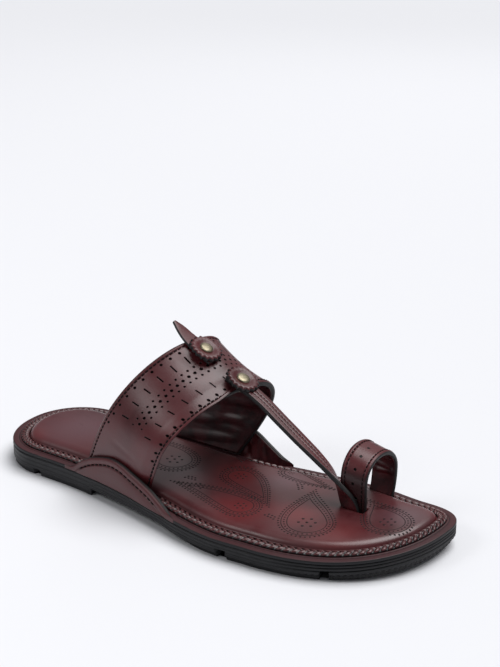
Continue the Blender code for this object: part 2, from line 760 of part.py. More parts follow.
# Slit in the insole for the thong and the ring's near leg, and the notch that the ring's far leg takes
# from the braid, which keeps a thin outer edge there
SLIT_X = (-11.2 * MM, -4.8 * MM)
SLIT_Y = (227 * MM, 242.5 * MM)
NOTCH_INNER_X = -30 * MM
NOTCH_Y = (226 * MM, 242.2 * MM)
NOTCH_KEPT = 1.2 * MM
NOTCH_X = float(side_x(sum(NOTCH_Y) / 2, -1)) + BRAID_OUTER + NOTCH_KEPT
CUT_Z = (5 * MM, 30 * MM)
slit = box("cut_slit", (SLIT_X[0], SLIT_Y[0], CUT_Z[0]), (SLIT_X[1], SLIT_Y[1], CUT_Z[1]))
far_leg = box("cut_far_leg", (NOTCH_X, NOTCH_Y[0], CUT_Z[0]), (NOTCH_INNER_X, NOTCH_Y[1], CUT_Z[1]))
combine(insole, slit, "DIFFERENCE")
combine(braid_front, far_leg, "DIFFERENCE")

# The origin lies under the middle of the sole's box
SOLE_EDGE = outline(sole_stations())[:, 0]
root.location = (-(SOLE_EDGE.max() + SOLE_EDGE.min()) / 2, -LENGTH / 2, 0)
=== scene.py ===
"""A right-foot kolhapuri sandal of burnished burgundy leather on a black rubber sole, over its frame."""

import bpy
import numpy as np
from mathutils import Matrix, Vector


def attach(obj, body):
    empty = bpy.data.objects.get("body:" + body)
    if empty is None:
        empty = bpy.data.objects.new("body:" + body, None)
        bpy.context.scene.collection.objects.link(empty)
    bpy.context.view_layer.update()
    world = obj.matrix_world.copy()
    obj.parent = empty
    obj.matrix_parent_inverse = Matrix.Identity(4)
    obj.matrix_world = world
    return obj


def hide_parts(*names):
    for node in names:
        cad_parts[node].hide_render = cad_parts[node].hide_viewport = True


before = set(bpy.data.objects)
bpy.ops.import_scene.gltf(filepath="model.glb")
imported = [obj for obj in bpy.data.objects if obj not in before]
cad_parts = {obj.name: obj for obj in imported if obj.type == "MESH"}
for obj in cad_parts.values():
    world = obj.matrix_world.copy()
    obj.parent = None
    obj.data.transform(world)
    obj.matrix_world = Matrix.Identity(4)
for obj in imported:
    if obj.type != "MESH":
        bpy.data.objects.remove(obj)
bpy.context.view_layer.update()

# Sizes are in millimetres on the last: x from its axis to the outer side, y from the back of the heel,
# z from the floor. row() brings them to the frame's metres.
MM = 0.001
GAP = 0.3
LENGTH = 288.0
BALL_WIDTH = 104.0
HEEL_RADIUS, HEEL_CENTRE_X, HEEL_SQUARE = 36.0, -1.0, 2.1
TOE_CENTRE_X = -20.0
TOE_LATERAL_DEPTH, TOE_LATERAL_SQUARE = 82.0, 2.15
TOE_MEDIAL_DEPTH, TOE_MEDIAL_SQUARE = 30.0, 2.4

# Sides of the sole: share of LENGTH, then the outer and the inner side's distance as shares of BALL_WIDTH
SIDES = (
    (0.000, 0.375, 0.350),
    (0.140, 0.375, 0.360),
    (0.226, 0.377, 0.356),
    (0.313, 0.399, 0.346),
    (0.400, 0.433, 0.341),
    (0.486, 0.476, 0.351),
    (0.573, 0.524, 0.380),
    (0.642, 0.543, 0.413),
    (0.715, 0.529, 0.442),
    (0.820, 0.512, 0.457),
    (0.900, 0.510, 0.426),
    (1.000, 0.510, 0.420),
)

RIM_HEEL, RIM_FORE, RIM_FALL = 13.9, 11.4, (90.0, 180.0)
MIDSOLE_THICK = 1.9
SPRING_START, TOE_SPRING = 228.0, 3.7
HEEL_BREAST, BREAST_RUN, SHANK_END, FORE_FLAT, SHANK_HEIGHT = 84.0, 1.5, 138.0, 178.0, 4.2
TREAD_HEIGHT, TREAD_INSET, HEEL_INSET = 3.1, 1.7, 0.7
BRAID_OUTER, BRAID_INNER = 5.0, 10.4
INSOLE_INSET, INSOLE_THICK = 10.8, 4.2
AROUND = 600


def through(xs, ys, x):
    """A smooth curve through the table's points: cubic pieces whose slopes are the central differences."""
    xs = np.asarray(xs, float)
    ys = np.asarray(ys, float)
    slopes = np.gradient(ys, xs)
    x = np.clip(x, xs[0], xs[-1])
    i = np.clip(np.searchsorted(xs, x, side="right") - 1, 0, len(xs) - 2)
    h = xs[i + 1] - xs[i]
    t = (x - xs[i]) / h
    start = (1 + 2 * t) * (1 - t) ** 2 * ys[i] + t * (1 - t) ** 2 * h * slopes[i]
    return start + t * t * (3 - 2 * t) * ys[i + 1] + t * t * (t - 1) * h * slopes[i + 1]


def ease(x, start, end):
    """0 before start, 1 after end and a soft S between."""
    t = np.clip((np.asarray(x, float) - start) / (end - start), 0.0, 1.0)
    return t * t * (3.0 - 2.0 * t)


def hump(x, centre, half_width):
    """A soft bump: 1 at its centre and 0 beyond half_width, as the square of 1 minus the squared distance."""
    t = np.clip(1 - ((np.asarray(x, float) - centre) / half_width) ** 2, 0, None)
    return t * t


def end_round(distance, depth, square):
    """1 where the side runs free and 0 at the tip, as a superellipse of this depth."""
    t = np.clip(np.asarray(distance, float) / depth, 0.0, 1.0)
    return (1.0 - t**square) ** (1.0 / square)


def side_x(y, side):
    """The outline's x at y: side +1 is the outer side, -1 the inner one."""
    y = np.asarray(y, float)
    along, lateral, medial = zip(*SIDES)
    x = side * through(along, lateral if side > 0 else medial, y / LENGTH) * BALL_WIDTH
    depth = TOE_LATERAL_DEPTH if side > 0 else TOE_MEDIAL_DEPTH
    square = TOE_LATERAL_SQUARE if side > 0 else TOE_MEDIAL_SQUARE
    toe = end_round(y - (LENGTH - depth), depth, square)
    heel = end_round(HEEL_RADIUS - y, HEEL_RADIUS, HEEL_SQUARE)
    x = TOE_CENTRE_X + (x - TOE_CENTRE_X) * toe
    return HEEL_CENTRE_X + (x - HEEL_CENTRE_X) * heel


def run_along(path):
    """How far along a path each of its points lies: the sum of the straight steps up to it."""
    return np.concatenate([[0], np.cumsum(np.linalg.norm(np.diff(path, axis=0), axis=1))])


def by_length(path, count, closed=False):
    """The path again as count points at equal steps along it."""
    path = np.concatenate([path, path[:1]]) if closed else path
    step = run_along(path)
    wanted = np.linspace(0, step[-1], count + 1)[:-1] if closed else np.linspace(0, step[-1], count)
    return np.stack([np.interp(wanted, step, column) for column in path.T], 1)


def half_edge(side, count):
    """One half of the outline from heel to toe: y runs as a cosine, so that both ends are close-set."""
    y = LENGTH / 2 * (1 - np.cos(np.linspace(0, np.pi, 3001)))
    return by_length(np.stack([side_x(y, side), y], 1), count)


def edge_ring(half=AROUND):
    """The closed outline, up the outer side and back down the inner, half points on each side."""
    return np.concatenate([half_edge(1, half + 1), half_edge(-1, half + 1)[-2:0:-1]])


def inward(points):
    """Unit vectors into a closed outline that runs counter-clockwise."""
    ahead = np.roll(points, -1, 0) - np.roll(points, 1, 0)
    ahead /= np.linalg.norm(ahead, axis=1)[:, None]
    return np.stack([-ahead[:, 1], ahead[:, 0]], 1)


EDGE = edge_ring()
EDGE_IN = inward(EDGE)
EDGE_STEP = np.linalg.norm(np.roll(EDGE, -1, 0) - EDGE, axis=1)
EDGE_ALONG = np.concatenate([[0], np.cumsum(EDGE_STEP)[:-1]])
CENTRE_X = (EDGE[:, 0].max() + EDGE[:, 0].min()) / 2
ORIGIN = np.array([CENTRE_X, LENGTH / 2, 0.0])


def row(points):
    """Places on the last, in millimetres, as places in the frame, in metres."""
    return (np.asarray(points, float) - ORIGIN) * MM


def spring(y):
    """Rise of the toe: the square of the share of the way from where it starts to the tip."""
    share = np.clip((np.asarray(y) - SPRING_START) / (LENGTH - SPRING_START), 0, 1.1)
    return TOE_SPRING * share**2


def rim_top(y):
    """Height of the board's rim: a soft S down from heel to forefoot, then up with the toe."""
    return RIM_HEEL - (RIM_HEEL - RIM_FORE) * ease(y, *RIM_FALL) + spring(y)


def outsole_top(y):
    """Height of the rubber's upper face, a gap below the board."""
    return rim_top(y) - MIDSOLE_THICK - GAP


def sole_bottom(y):
    """Height of the underside: flat heel, raised shank between two soft steps, flat forefoot, sprung toe."""
    step = ease(y, HEEL_BREAST, HEEL_BREAST + BREAST_RUN)
    return SHANK_HEIGHT * step * (1 - ease(y, SHANK_END, FORE_FLAT)) + spring(y)


def fill_mesh(name, points, quads, tris=(), notes=None):
    """A mesh from whole arrays: points in last millimetres, four-sided and three-sided faces, and under each
    key a vector noted at each point for the materials."""
    quads = np.asarray(quads, np.int32).reshape(-1, 4)
    tris = np.asarray(tris, np.int32).reshape(-1, 3)
    corners = np.repeat((4, 3), (len(quads), len(tris)))
    mesh = bpy.data.meshes.new(name)
    mesh.vertices.add(len(points))
    mesh.vertices.foreach_set("co", row(points).astype(np.float32).ravel())
    mesh.loops.add(corners.sum())
    mesh.loops.foreach_set("vertex_index", np.concatenate([quads.ravel(), tris.ravel()]))
    mesh.polygons.add(len(corners))
    mesh.polygons.foreach_set("loop_start", (np.cumsum(corners) - corners).astype(np.int32))
    mesh.update(calc_edges=True)
    for key, values in (notes or {}).items():
        place = mesh.attributes.new(key, "FLOAT_VECTOR", "POINT")
        place.data.foreach_set("vector", np.asarray(values, np.float32).ravel())
    mesh.shade_smooth()
    return mesh


def piece(name, mesh, material, replaced=()):
    """The mesh as an object that rides the sandal, takes its finish from slot and stands for nodes."""
    obj = bpy.data.objects.new(name, mesh)
    bpy.context.scene.collection.objects.link(obj)
    mesh.materials.append(material)
    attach(obj, "root")
    if replaced:
        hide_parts(*replaced)
    return obj


def grid_faces(rows, columns):
    """Quads over a grid of rows and columns, closed across the columns."""
    r = np.arange(rows - 1)[:, None] * columns
    c = np.arange(columns)[None, :]
    d = (c + 1) % columns
    return np.stack([r + c, r + d, r + columns + d, r + columns + c], -1).reshape(-1, 4)


def pair_faces(count, first, upward):
    """Strips from side to side that close a ring whose points pair off across its long axis."""
    i = np.arange(1, count // 2 - 1)
    quads = np.stack([i, i + 1, count - i - 1, count - i], 1) + first
    h = count // 2
    tris = np.array([[0, 1, count - 1], [h - 1, h, h + 1]]) + first
    return (quads, tris) if upward else (quads[:, ::-1], tris[:, ::-1])


def platform(name, rings, notes=None):
    """Rings of the sole stacked from below to above, closed by strips underneath and on top."""
    rings = np.asarray(rings)
    count = rings.shape[1]
    low_quads, low_tris = pair_faces(count, 0, False)
    high_quads, high_tris = pair_faces(count, (len(rings) - 1) * count, True)
    quads = np.concatenate([grid_faces(len(rings), count), low_quads, high_quads])
    tris = np.concatenate([low_tris, high_tris])
    return fill_mesh(name, rings.reshape(-1, 3), quads, tris, notes)


def tube(name, rings, notes=None, flip=False):
    """Closed rings along a path, each end drawn to a point in its middle."""
    rows, columns = rings.shape[:2]

    def with_ends(values):
        return np.concatenate([values.reshape(-1, 3), values[[0, -1]].mean(1)])

    c = np.arange(columns)
    d = (c + 1) % columns
    last = (rows - 1) * columns
    start = np.stack([d, c, 0 * c + rows * columns], 1)
    finish = np.stack([last + c, last + d, 0 * c + rows * columns + 1], 1)
    quads, tris = grid_faces(rows, columns), np.concatenate([start, finish])
    if flip:
        quads, tris = quads[:, ::-1], tris[:, ::-1]
    noted = {key: with_ends(values) for key, values in (notes or {}).items()}
    return fill_mesh(name, with_ends(rings), quads, tris, noted)


def spread(shape, *values):
    """Values that vary along, across, both ways or not at all, as one vector at each place of a grid."""
    return np.stack([np.broadcast_to(value, shape) for value in values], -1)


class Value:
    """A number that varies over a surface: sums on it become Math nodes of its material."""

    def __init__(self, look, socket):
        self.look = look
        self.socket = socket

    def math(self, operation, *values):
        """One Math node over the values, and what it gives."""
        sockets = {i: value for i, value in enumerate(values)}
        node = self.look.node("ShaderNodeMath", {"operation": operation}, sockets)
        return Value(self.look, node.outputs[0])

    def __add__(self, other):
        return self.math("ADD", self, other)

    def __sub__(self, other):
        return self.math("SUBTRACT", self, other)

    def __mul__(self, other):
        return self.math("MULTIPLY", self, other)

    def __truediv__(self, other):
        return self.math("DIVIDE", self, other)

    def __rsub__(self, other):
        return self.math("SUBTRACT", other, self)

    __radd__ = __add__
    __rmul__ = __mul__

    def least(self, other):
        return self.math("MINIMUM", self, other)

    def most(self, other):
        return self.math("MAXIMUM", self, other)

    def size(self):
        return self.math("ABSOLUTE", self)

    def root(self):
        return self.math("SQRT", self)

    def centred(self, pitch):
        """Distance to the nearest of marks a pitch apart, the first of them at 0."""
        return self.math("WRAP", self, pitch / 2, -pitch / 2)

    def soft(self, low, high):
        """0 at low and 1 at high with a soft S between; low above high turns it round."""
        sockets = {"Value": self, "From Min": low, "From Max": high, "To Min": 0.0, "To Max": 1.0}
        node = self.look.node("ShaderNodeMapRange", {"interpolation_type": "SMOOTHSTEP"}, sockets)
        return Value(self.look, node.outputs[0])


class Look:
    """One material and the few ways in which its nodes are made."""

    def __init__(self, name, **numbers):
        self.material = bpy.data.materials.new(name)
        self.material.use_nodes = True
        self.tree = self.material.node_tree
        self.tree.nodes.clear()
        self.shader = self.node("ShaderNodeBsdfPrincipled")
        output = self.node("ShaderNodeOutputMaterial")
        self.tree.links.new(self.shader.outputs[0], output.inputs["Surface"])
        for name, number in numbers.items():
            self.shader.inputs[name.replace("_", " ")].default_value = number
        self.place = self.node("ShaderNodeTexCoord").outputs["Object"]

    def node(self, kind, settings=None, sockets=None):
        """A node of this kind with its settings made and its sockets fed."""
        made = self.tree.nodes.new(kind)
        for key, value in (settings or {}).items():
            setattr(made, key, value)
        for key, value in (sockets or {}).items():
            self.feed(made.inputs[key], value)
        return made

    def feed(self, socket, value):
        """Links a varying value to the socket, or sets a plain one on it."""
        value = value.socket if isinstance(value, Value) else value
        if isinstance(value, bpy.types.NodeSocket):
            self.tree.links.new(value, socket)
        elif socket.type == "RGBA":
            socket.default_value = (*value, 1.0)
        else:
            socket.default_value = value

    def set(self, **sockets):
        """Feeds the shader's own sockets, whose names have _ for a space."""
        for key, value in sockets.items():
            self.feed(self.shader.inputs[key.replace("_", " ")], value)

    def noise(self, scale, detail=3.0, rough=0.55, stretch=None):
        """Soft noise about 0.5, with scale waves to a metre, times the three numbers of stretch."""
        place = self.place
        if stretch:
            place = self.node("ShaderNodeMapping", {}, {"Vector": place, "Scale": stretch}).outputs[0]
        sockets = {"Vector": place, "Scale": scale, "Detail": detail, "Roughness": rough}
        return Value(self, self.node("ShaderNodeTexNoise", {}, sockets).outputs["Fac"])

    def cells(self, scale):
        """Distance to the nearest of scattered points, scale of them to a metre."""
        sockets = {"Vector": self.place, "Scale": scale}
        return Value(self, self.node("ShaderNodeTexVoronoi", {}, sockets).outputs["Distance"])

    def note(self, key):
        """The three numbers noted at each point under this key."""
        vector = self.node("ShaderNodeAttribute", {"attribute_name": key}).outputs["Vector"]
        parts = self.node("ShaderNodeSeparateXYZ", {}, {0: vector})
        return [Value(self, socket) for socket in parts.outputs]

    def near(self, x, y, radius):
        """1 at a place given on the last in millimetres, falling softly to 0 at the radius."""
        parts = self.node("ShaderNodeSeparateXYZ", {}, {0: self.place})
        place = row((x, y, 0.0))
        aside, ahead = (Value(self, parts.outputs[i]) - float(place[i]) for i in (0, 1))
        return (aside * aside + ahead * ahead).root().soft(radius * MM, 0.0)

    def blend(self, share, first, second):
        """The first colour where share is 0 and the second where it is 1."""
        sockets = {0: share, 6: first, 7: second}
        return self.node("ShaderNodeMix", {"data_type": "RGBA"}, sockets).outputs[2]

    def bump(self, height, distance, strength=1.0):
        """Relief in the shading: a height of 1 stands for distance in millimetres."""
        sockets = {"Height": height, "Distance": distance * MM, "Strength": strength}
        self.set(Normal=self.node("ShaderNodeBump", {}, sockets).outputs[0])


MARK_BLUR, ROW_END = 0.15, 0.5


def marks(along, across, pitch, start, row_at, half_length, radius):
    """Punched marks a pitch apart on one row: circles about the nearest mark's middle, drawn out across the
    strap by half_length to both sides."""
    x = (along - start).centred(pitch)
    y = ((across - row_at).size() - half_length).most(0.0)
    return (x * x + y * y).root().soft(radius + MARK_BLUR, radius - MARK_BLUR)


def window(value, low, high):
    """1 between low and high, with soft ends."""
    return value.soft(low - ROW_END, low + ROW_END) * value.soft(high + ROW_END, high - ROW_END)


def line_at(value, centre, half):
    """1 where value is centre, falling softly to 0 at half to both sides."""
    return (value - centre).size().soft(half, 0.0)


# Colours of the hide's two tones and its brown clouds, of paint, holes and wax, of the painted shade where
# straps go into the insole, and of the linings
DEEP_RED = (0.042, 0.0032, 0.0050)
BURGUNDY = (0.097, 0.0088, 0.0122)
BROWN = (0.076, 0.0165, 0.0190)
EDGE_PAINT = (0.010, 0.009, 0.010)
HOLE_DARK = (0.002, 0.0015, 0.0015)
WAXED_DARK = (0.034, 0.019, 0.022)
STRAP_FOOT_SHADE = (0.010, 0.0015, 0.0022)
BAND_LINING = ((0.014, 0.0018, 0.0028), (0.046, 0.0058, 0.0085))
RED_LINING = ((0.026, 0.0022, 0.0036), (0.085, 0.0085, 0.0120))
# Colours of the sole, the rim's ink and its worn edge, the braid's painted highlight and painted shade, the
# print, the thread and the rivets
RUBBER_TINTS = ((0.0065, 0.0065, 0.0080), (0.013, 0.013, 0.015))
RUBBER_SCUFF = (0.035, 0.035, 0.038)
RIM_INK, RIM_WORN = (0.006, 0.006, 0.008), (0.16, 0.12, 0.11)
BRAID_HIGHLIGHT, BRAID_CUT_SHADE = (0.078, 0.036, 0.036), (0.005, 0.003, 0.004)
INK_TINTS = ((0.011, 0.007, 0.008), (0.026, 0.014, 0.015))
THREAD_TINTS = ((0.004, 0.002, 0.0025), (0.012, 0.005, 0.006))
BRASS_TINTS = ((0.30, 0.265, 0.185), (0.17, 0.15, 0.105))
IOR = 1.5


def hide(look, tone=0.5, grain=0.16, roughness=0.36):
    """Burnished hide: wide two-tone clouds, a fine creased grain, and gloss that varies with both. Clouds and
    mottle together choose the tone, pores and fine noise make the relief."""
    clouds = look.noise(22.0, 2.0, 0.5)
    mottle = look.noise(110.0, 4.0, 0.65)
    share = (clouds.soft(0.38, 0.62) * 0.8 + mottle * 0.5 + (tone - 0.65)).least(1.0).most(0.0)
    colour = look.blend(share, DEEP_RED, BURGUNDY)
    brown = look.noise(34.0, 3.0, 0.6)
    colour = look.blend((brown + mottle * 0.5 + (tone - 0.75)).soft(0.30, 0.62) * 0.8, colour, BROWN)
    pores = look.cells(1500.0)
    fine = look.noise(2600.0, 2.0, 0.6)
    relief = pores * 0.5 + fine * 0.4 + mottle * 0.3
    gloss = mottle * 0.16 + clouds * 0.12 + fine * 0.06 + (roughness - 0.17)
    return colour, relief * grain, gloss


def rubber_look():
    """Matt moulded rubber: mottled black with scuffs that run along the side."""
    look = Look("black_rubber", IOR=IOR, Specular_IOR_Level=0.3)
    mottle = look.noise(60.0, 4.0, 0.6)
    fine = look.noise(1400.0, 3.0, 0.6)
    scuff = look.noise(420.0, 2.0, 0.5, (1.0, 1.0, 5.0)).soft(0.58, 0.78)
    colour = look.blend(mottle.soft(0.3, 0.7), *RUBBER_TINTS)
    colour = look.blend(scuff * 0.35, colour, RUBBER_SCUFF)
    look.set(Base_Color=colour, Roughness=mottle * 0.15 + scuff * 0.1 + 0.42)
    look.bump(fine * 0.35 + mottle * 0.3, 0.12, 0.6)
    return look.material


RIM_CREASE, RIM_CREASE_HALF = 3.9, 0.45


def rim_look():
    """The board's rim: brown wax finish on top with a dark pressed line, black ink on its edge, worn where
    the two meet."""
    look = Look("rim_leather", IOR=IOR, Specular_IOR_Level=0.3)
    height, inset, _ = look.note("place")
    colour, relief, gloss = hide(look, 0.50, 0.2, 0.44)
    colour = look.blend(0.6, colour, WAXED_DARK)
    colour = look.blend(line_at(inset, RIM_CREASE, RIM_CREASE_HALF) * 0.85, colour, HOLE_DARK)
    worn = look.noise(70.0, 4.0, 0.65).soft(0.50, 0.66)
    ink = look.blend(line_at(height, 0.97, 0.10) * worn * 0.8, RIM_INK, RIM_WORN)
    colour = look.blend(height.soft(0.90, 0.995), ink, colour)
    look.set(Base_Color=colour, Roughness=gloss + 0.03)
    look.bump(relief, 0.3, 0.5)
    return look.material


def braid_look():
    """Hide with a painted highlight, paler on top of the strands, and painted shade, dark in the cuts between
    them.
    """
    look = Look("braid_leather", IOR=IOR)
    low, _, _ = look.note("place")
    colour, relief, gloss = hide(look, 0.5, 0.15, 0.34)
    # Painted highlight on the strands' tops, then painted shade in the cuts and along the strip's sides
    colour = look.blend(low.soft(0.45, 0.05) * 0.55, colour, BRAID_HIGHLIGHT)
    colour = look.blend(low.soft(0.25, 0.75), colour, BRAID_CUT_SHADE)
    look.set(Base_Color=colour, Roughness=gloss)
    look.bump(relief, 0.3, 0.5)
    return look.material


# Spots where the insole is redder, and spots of painted sheen where it goes over to a greyer wine: x, y
# and radius on the last
RED_SPOTS = ((-4.0, 158.0, 20.0), (28.0, 186.0, 24.0), (22.0, 243.0, 22.0), (16.0, 214.0, 18.0),
             (30.0, 22.0, 20.0))
SHEEN_SPOTS = ((16.0, 132.0, 30.0), (-14.0, 186.0, 20.0), (-14.0, 262.0, 20.0), (0.0, 45.0, 40.0))
SPOT_RED, PAINTED_SHEEN_TINT = (0.130, 0.0110, 0.0125), (0.118, 0.060, 0.072)


def insole_look():
    """Polished hide with redder spots and greyer spots of painted sheen, under a thin coat."""
    look = Look("insole_leather", IOR=IOR, Coat_Roughness=0.35)
    colour, relief, gloss = hide(look, 0.5, 0.10, 0.35)
    # The greyer spots are painted sheen
    for spots, strength, tint in ((RED_SPOTS, 0.75, SPOT_RED), (SHEEN_SPOTS, 0.6, PAINTED_SHEEN_TINT)):
        for x, y, radius in spots:
            colour = look.blend(look.near(x, y, radius) * strength, colour, tint)
    look.set(Base_Color=colour, Roughness=gloss, Coat_Weight=0.35)
    look.bump(relief, 0.25, 0.4)
    return look.material


def print_look():
    """Dull brown-black ink, uneven in tone."""
    look = Look("print_ink", IOR=IOR, Specular_IOR_Level=0.25)
    mottle = look.noise(220.0, 3.0, 0.6)
    look.set(Base_Color=look.blend(mottle.soft(0.3, 0.7), *INK_TINTS), Roughness=mottle * 0.1 + 0.5)
    return look.material


def lining_of(look, tints):
    """A strap's lining: dark glazed leather, and the relief of wrinkles that run across it."""
    wrinkles = look.noise(48.0, 1.0, 0.4, (1.0, 1.6, 0.9))
    return look.blend(look.noise(130.0, 4.0, 0.6).soft(0.35, 0.65), *tints), wrinkles * 5.0


# Punched rows of the band: the line they are measured from, then pitch, a mark's place along, distance from
# the line, half length and radius, and where the row begins and ends
BAND_ROWS = (
    ("rear", (6.02, 91.1, 4.1, 0.0, 0.78), (34.0, 165.0)),
    ("front", (6.66, 93.6, 3.6, 0.0, 0.88), (23.0, 176.0)),
    ("middle", (9.35, 91.5, -10.8, 2.2, 0.42), (41.0, 158.0)),
    ("middle", (10.1, 100.7, 10.8, 2.2, 0.42), (35.0, 164.0)),
    ("bowed", (4.38, 93.6, 0.0, 0.0, 0.9), (43.0, 156.0)),
    ("bowed", (4.38, 91.4, -3.5, 0.0, 0.66), (43.0, 156.0)),
    ("bowed", (4.38, 91.4, 3.5, 0.0, 0.66), (43.0, 156.0)),
)
# The bowed line leaves the middle over the top of the foot: where it leaves, is full, turns back and is back
BOW_RISE, BOW = 2.0, (58.0, 92.0, 106.0, 140.0)
RING_ROW = (8.2, 2.5, 7.0, 0.0, 0.8)
# Painted shade on the ring's near leg, from and to along it, and on the thong's end, x, y and radius
RING_LEG_SHADE, THONG_END_SHADE = (29.0, 22.0), (-7.0, 236.0, 16.0)
HOLE_DEPTH = 1.6


def band_look():
    """The instep band's hide, painted on its cut edges and lined on its back, with its punched rows."""
    look = Look("band_leather", IOR=IOR, Coat_Roughness=0.3, Specular_IOR_Level=0.4)
    along, rear, front = look.note("place")
    paint, _, inner = look.note("side")
    colour, relief, gloss = hide(look)
    middle = (rear - front) * 0.5
    bowed = middle + along.soft(BOW[0], BOW[1]) * along.soft(BOW[3], BOW[2]) * BOW_RISE
    lines = {"rear": rear, "front": front, "middle": middle, "bowed": bowed}
    holes = 0.0
    for line, punched, ends in BAND_ROWS:
        holes = (marks(along, lines[line], *punched) * window(along, *ends)).most(holes)
    holes = holes * (1.0 - inner)
    lining, wrinkles = lining_of(look, BAND_LINING)
    # Holes: the dark lining seen through them, deepened to near black by painted shade in the recess
    for share, tint in ((paint, EDGE_PAINT), (inner, lining), (holes, HOLE_DARK)):
        colour = look.blend(share, colour, tint)
    look.set(Base_Color=colour, Roughness=gloss + (holes + paint) * 0.25 + inner * 0.06, Metallic=holes,
             Coat_Weight=(0.3 - holes - paint - inner * 0.15).most(0.0))
    look.bump(relief - holes * HOLE_DEPTH + wrinkles * inner, 0.5, 0.7)
    return look.material


def strap_look(name, tone=0.5, punched=None):
    """Strap leather: painted on the cut edges, lined red on its back and darkened by painted shade where it
    goes into the insole, with a row of holes where punched gives one."""
    look = Look(name, IOR=IOR, Coat_Roughness=0.3, Specular_IOR_Level=0.4)
    along, across, _ = look.note("place")
    paint, _, inner = look.note("side")
    colour, relief, gloss = hide(look, tone, roughness=0.38)
    # Painted shade: darker down the ring's near leg and round the thong's end, where they go into the insole
    foot_shade = along.soft(*RING_LEG_SHADE) if punched else look.near(*THONG_END_SHADE)
    lining, wrinkles = lining_of(look, RED_LINING)
    for share, tint in ((foot_shade * 0.75, STRAP_FOOT_SHADE), (paint, EDGE_PAINT), (inner, lining)):
        colour = look.blend(share, colour, tint)
    relief = relief + wrinkles * inner
    if punched:
        holes = marks(along, across, *punched) * (1.0 - inner)
        # Holes: the dark lining seen through them, deepened to near black by painted shade in the recess
        colour = look.blend(holes, colour, HOLE_DARK)
        relief = relief - holes * HOLE_DEPTH
        look.set(Metallic=holes)
    look.set(Base_Color=colour, Roughness=gloss + paint * 0.15, Coat_Weight=(0.2 - paint).most(0.0))
    look.bump(relief, 0.5, 0.7)
    return look.material


def thread_look():
    """Waxed thread: near black, with the unevenness of its twist."""
    look = Look("waxed_thread", IOR=IOR, Specular_IOR_Level=0.2)
    twist = look.noise(1800.0, 2.0, 0.5)
    look.set(Base_Color=look.blend(twist.soft(0.3, 0.7), *THREAD_TINTS), Roughness=0.75)
    look.bump(twist, 0.15, 0.5)
    return look.material


def brass_look():
    """Old brass, duller where it is tarnished."""
    look = Look("antique_brass", Metallic=1.0)
    tarnish = look.noise(260.0, 4.0, 0.6)
    look.set(Base_Color=look.blend(tarnish.soft(0.35, 0.75), *BRASS_TINTS), Roughness=tarnish * 0.25 + 0.28)
    look.bump(look.noise(900.0, 2.0), 0.05, 0.4)
    return look.material


RUBBER = rubber_look()
RIM = rim_look()
BRAID = braid_look()
INSOLE = insole_look()
INK = print_look()
BAND = band_look()
STRAP = strap_look("strap_leather")
# The ring is the strap leather at a darker tone, which is painted shade
RING = strap_look("ring_leather", 0.25, RING_ROW)
THREAD = thread_look()
BRASS = brass_look()

# Notches in the sole's side: side, from and to as shares of LENGTH, depth inward
NOTCHES = ((1, 0.130, 0.148, 5.0), (1, 0.653, 0.674, 6.0), (1, 0.858, 0.872, 6.0),
           (-1, 0.060, 0.085, 5.0), (-1, 0.160, 0.185, 5.0), (-1, 0.690, 0.712, 6.0))
NOTCH_TOP_HEEL, NOTCH_TOP_FORE = 0.12, 0.46
# Teeth under the toe: pitch, and where they begin and are full along the sole
TOOTH_PITCH, TEETH_RUN = 3.4, (225, 250)
# Grooves round the side: depth, the share of it that they have behind the toe, where they deepen, and their
# places and half width as shares of the side's height. Behind the toe fine ripples take their place.
GROOVE_DEPTH, GROOVE_FADE, GROOVE_RUN = 0.75, 0.30, (215, 250)
GROOVES, GROOVE_HALF = (0.42, 0.74), 0.085
RIPPLE, RIPPLE_TURNS = 0.12, 40
# Rounding below, lip over the tread, depth of the teeth there, rounding above and inset of the upper face
SOLE_ROUND, LIP, TEETH_DEEP, TOP_ROUND, TOP_INSET = 0.5, 0.35, 0.9, 0.4, 2.0


def sole_ring(inset, height):
    """One ring of the sole: inset is a number or one for each point of the outline, and so is height, or it
    is a function of y."""
    moved = EDGE + EDGE_IN * np.reshape(np.broadcast_to(inset, len(EDGE)), (-1, 1))
    high = height(moved[:, 1]) if callable(height) else np.broadcast_to(height, len(EDGE))
    return np.column_stack([moved, high])


def toward_spine(ring, share, shrink=0.8):
    """The ring drawn towards the sole's middle line, whose ends stop short of the ring's own."""
    opposite = ring[(-np.arange(len(ring))) % len(ring)]
    spine = (ring + opposite) / 2
    spine[:, 1] = LENGTH / 2 + (spine[:, 1] - LENGTH / 2) * shrink
    return ring * (1 - share) + spine * share


